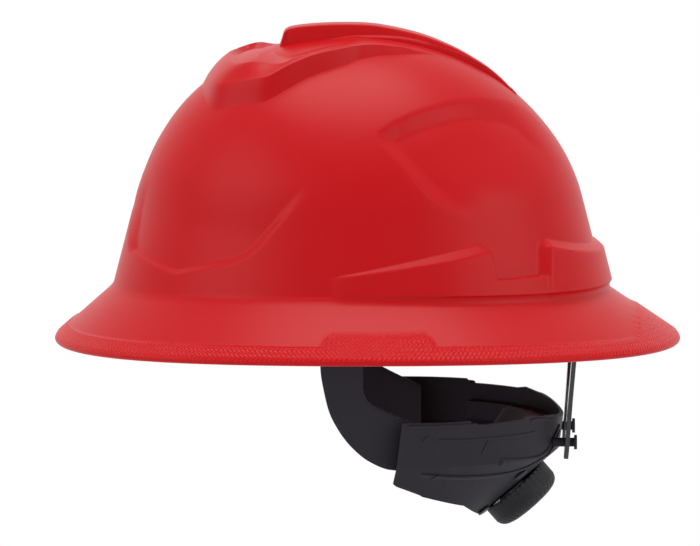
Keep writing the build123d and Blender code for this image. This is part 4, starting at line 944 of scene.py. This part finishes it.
def make_knob():
    """Ratchet knob's grip over the CAD knob: ribs as a folded cosine wave, a domed face with a ring."""
    t = circle(KNOB_RIBS * 14)
    wave = np.abs(np.cos(KNOB_RIBS / 2 * t)) ** 0.55
    r, h, rib = (column[:, None] for column in np.array(KNOB_PROFILE, float).T)
    radius = r - RIB_DEPTH * rib * (1 - wave)
    axis = np.array([0, cos(TILT), -sin(TILT)])
    origin = np.array([0, KNOB_Y, KNOB_Z])
    s = radius * np.sin(t)
    rings = origin + np.stack([radius * np.cos(t), s * sin(TILT), s * cos(TILT)], -1) + h[..., None] * axis
    tips = [origin + KNOB_PROFILE[k][1] * axis for k in (0, -1)]
    ring_piece("knob_grip", rings, tips, "knob", "knob_rubber", 45)


# ---- stage: floor, light, background, camera
# Level of the world's light by direction: brighter towards SKY_AIM
SKY_AIM = (-0.85, -0.1, 0.5)
SKY_LEVEL = {"From Min": -0.9, "From Max": 0.7, "To Min": 0.30, "To Max": 0.50}
# Lights: place and size in metres, power in watts
LIGHTS = {"key_light": ((1.1, -1.8, 1.0), 1.8, 15.5), "fill_light": ((1.0, 2.0, 0.8), 1.8, 15.0),
          "top_light": ((-0.05, 0.0, 2.0), 1.5, 23.5)}
LIGHT_AIM = Vector((0, 0, 0.03))
# Camera: point looked at, distance and width of the view there in metres, and rise over the brim's plane
LOOK_AT = Vector((0, -0.0044, 0.0321))
CAMERA_AWAY, VIEW_WIDTH, SENSOR = 6.0, 0.3448, 36
CAMERA_RISE = radians(8)


def show_white(tree, plain, kind, end):
    """Send the plain shader to the tree's end, but white to camera, mirror and clear rays, so that gloss
    shows the white that the camera sees."""
    path = node(tree, "ShaderNodeLightPath").outputs
    seen = path["Is Camera Ray"]
    for name in ("Is Glossy Ray", "Is Transmission Ray"):
        seen = maths(tree, "MAXIMUM", seen, path[name])
    white = node(tree, kind, Color=(1, 1, 1, 1), Strength=1.0)
    mix = node(tree, "ShaderNodeMixShader", Fac=seen)
    tree.links.new(plain.outputs[0], mix.inputs[1])
    tree.links.new(white.outputs[0], mix.inputs[2])
    tree.links.new(mix.outputs[0], tree.nodes[end].inputs["Surface"])


def make_floor():
    """Plain pale floor that reads as white to the camera."""
    bpy.ops.mesh.primitive_plane_add(size=9, location=(0, 0, cad_low[2] - 0.004))
    floor = bpy.context.object
    floor.name = "floor"
    mat = bpy.data.materials.new("floor_white")
    mat.use_nodes = True
    tree = mat.node_tree
    soft = fill(tree, tree.nodes["Principled BSDF"], {"Base Color": (0.86, 0.86, 0.86, 1), "Roughness": 0.9})
    show_white(tree, soft, "ShaderNodeEmission", "Material Output")
    floor.data.materials.append(mat)


def make_world():
    """World that is white to the camera and lights softly, a little more from above the camera's far side."""
    world = bpy.data.worlds.new("white_studio")
    bpy.context.scene.world = world
    world.use_nodes = True
    tree = world.node_tree
    ahead = node(tree, "ShaderNodeTexCoord").outputs["Generated"]
    aim = node(tree, "ShaderNodeVectorMath", operation="DOT_PRODUCT", Vector=ahead)
    aim.inputs[1].default_value = SKY_AIM
    level = node(tree, "ShaderNodeMapRange", interpolation_type="SMOOTHSTEP", Value=aim.outputs["Value"],
                 **SKY_LEVEL)
    back = fill(tree, tree.nodes["Background"], {"Color": (1, 1, 1, 1), "Strength": level.outputs["Result"]})
    show_white(tree, back, "ShaderNodeBackground", "World Output")


def make_lights():
    """Three soft round lights aimed at the hat."""
    for name, (place, size, power) in LIGHTS.items():
        data = bpy.data.lights.new(name, "AREA")
        data.shape = "DISK"
        data.size = size
        data.energy = power
        lamp = new_object(name, data)
        lamp.location = place
        lamp.rotation_euler = (LIGHT_AIM - Vector(place)).to_track_quat("-Z", "Y").to_euler()


def make_camera():
    """Long lens from the wearer's left, a little above the brim, as in the photograph."""
    away = Vector((cos(CAMERA_RISE), 0, sin(CAMERA_RISE))) * CAMERA_AWAY
    data = bpy.data.cameras.new("photo_camera")
    data.sensor_width = SENSOR
    data.lens = SENSOR * CAMERA_AWAY / VIEW_WIDTH
    data.clip_end = 50
    camera = new_object("photo_camera", data)
    camera.location = LOOK_AT + away
    camera.rotation_euler = (-away).to_track_quat("-Z", "Y").to_euler()
    bpy.context.scene.camera = camera


# ---- build
make_shell()
make_crest()
make_fin()
for soft_name, soft_width in SOFT_WIDTHS.items():
    soften(soft_name, soft_width)
make_strap("left_crown_strap", pi - STRAP_TURN, 0.0)
make_strap("right_crown_strap", STRAP_TURN - pi, RIGHT_STRAP_LIFT)
make_brow_pad()
make_nape_pad()
for arm_name, arm_side in (("left", 1), ("right", -1)):
    make_arm(arm_name, arm_side)
make_knob()
make_sockets()
for side_name, side in (("left", 1), ("right", -1)):
    for ridge_name, (ridge_width, ridge_height, ridge_route) in RIDGES.items():
        make_ridge(side_name + "_" + ridge_name, ridge_route, ridge_width, ridge_height, side)
make_floor()
make_world()
make_lights()
make_camera()
bpy.context.scene.view_settings.view_transform = "Standard"
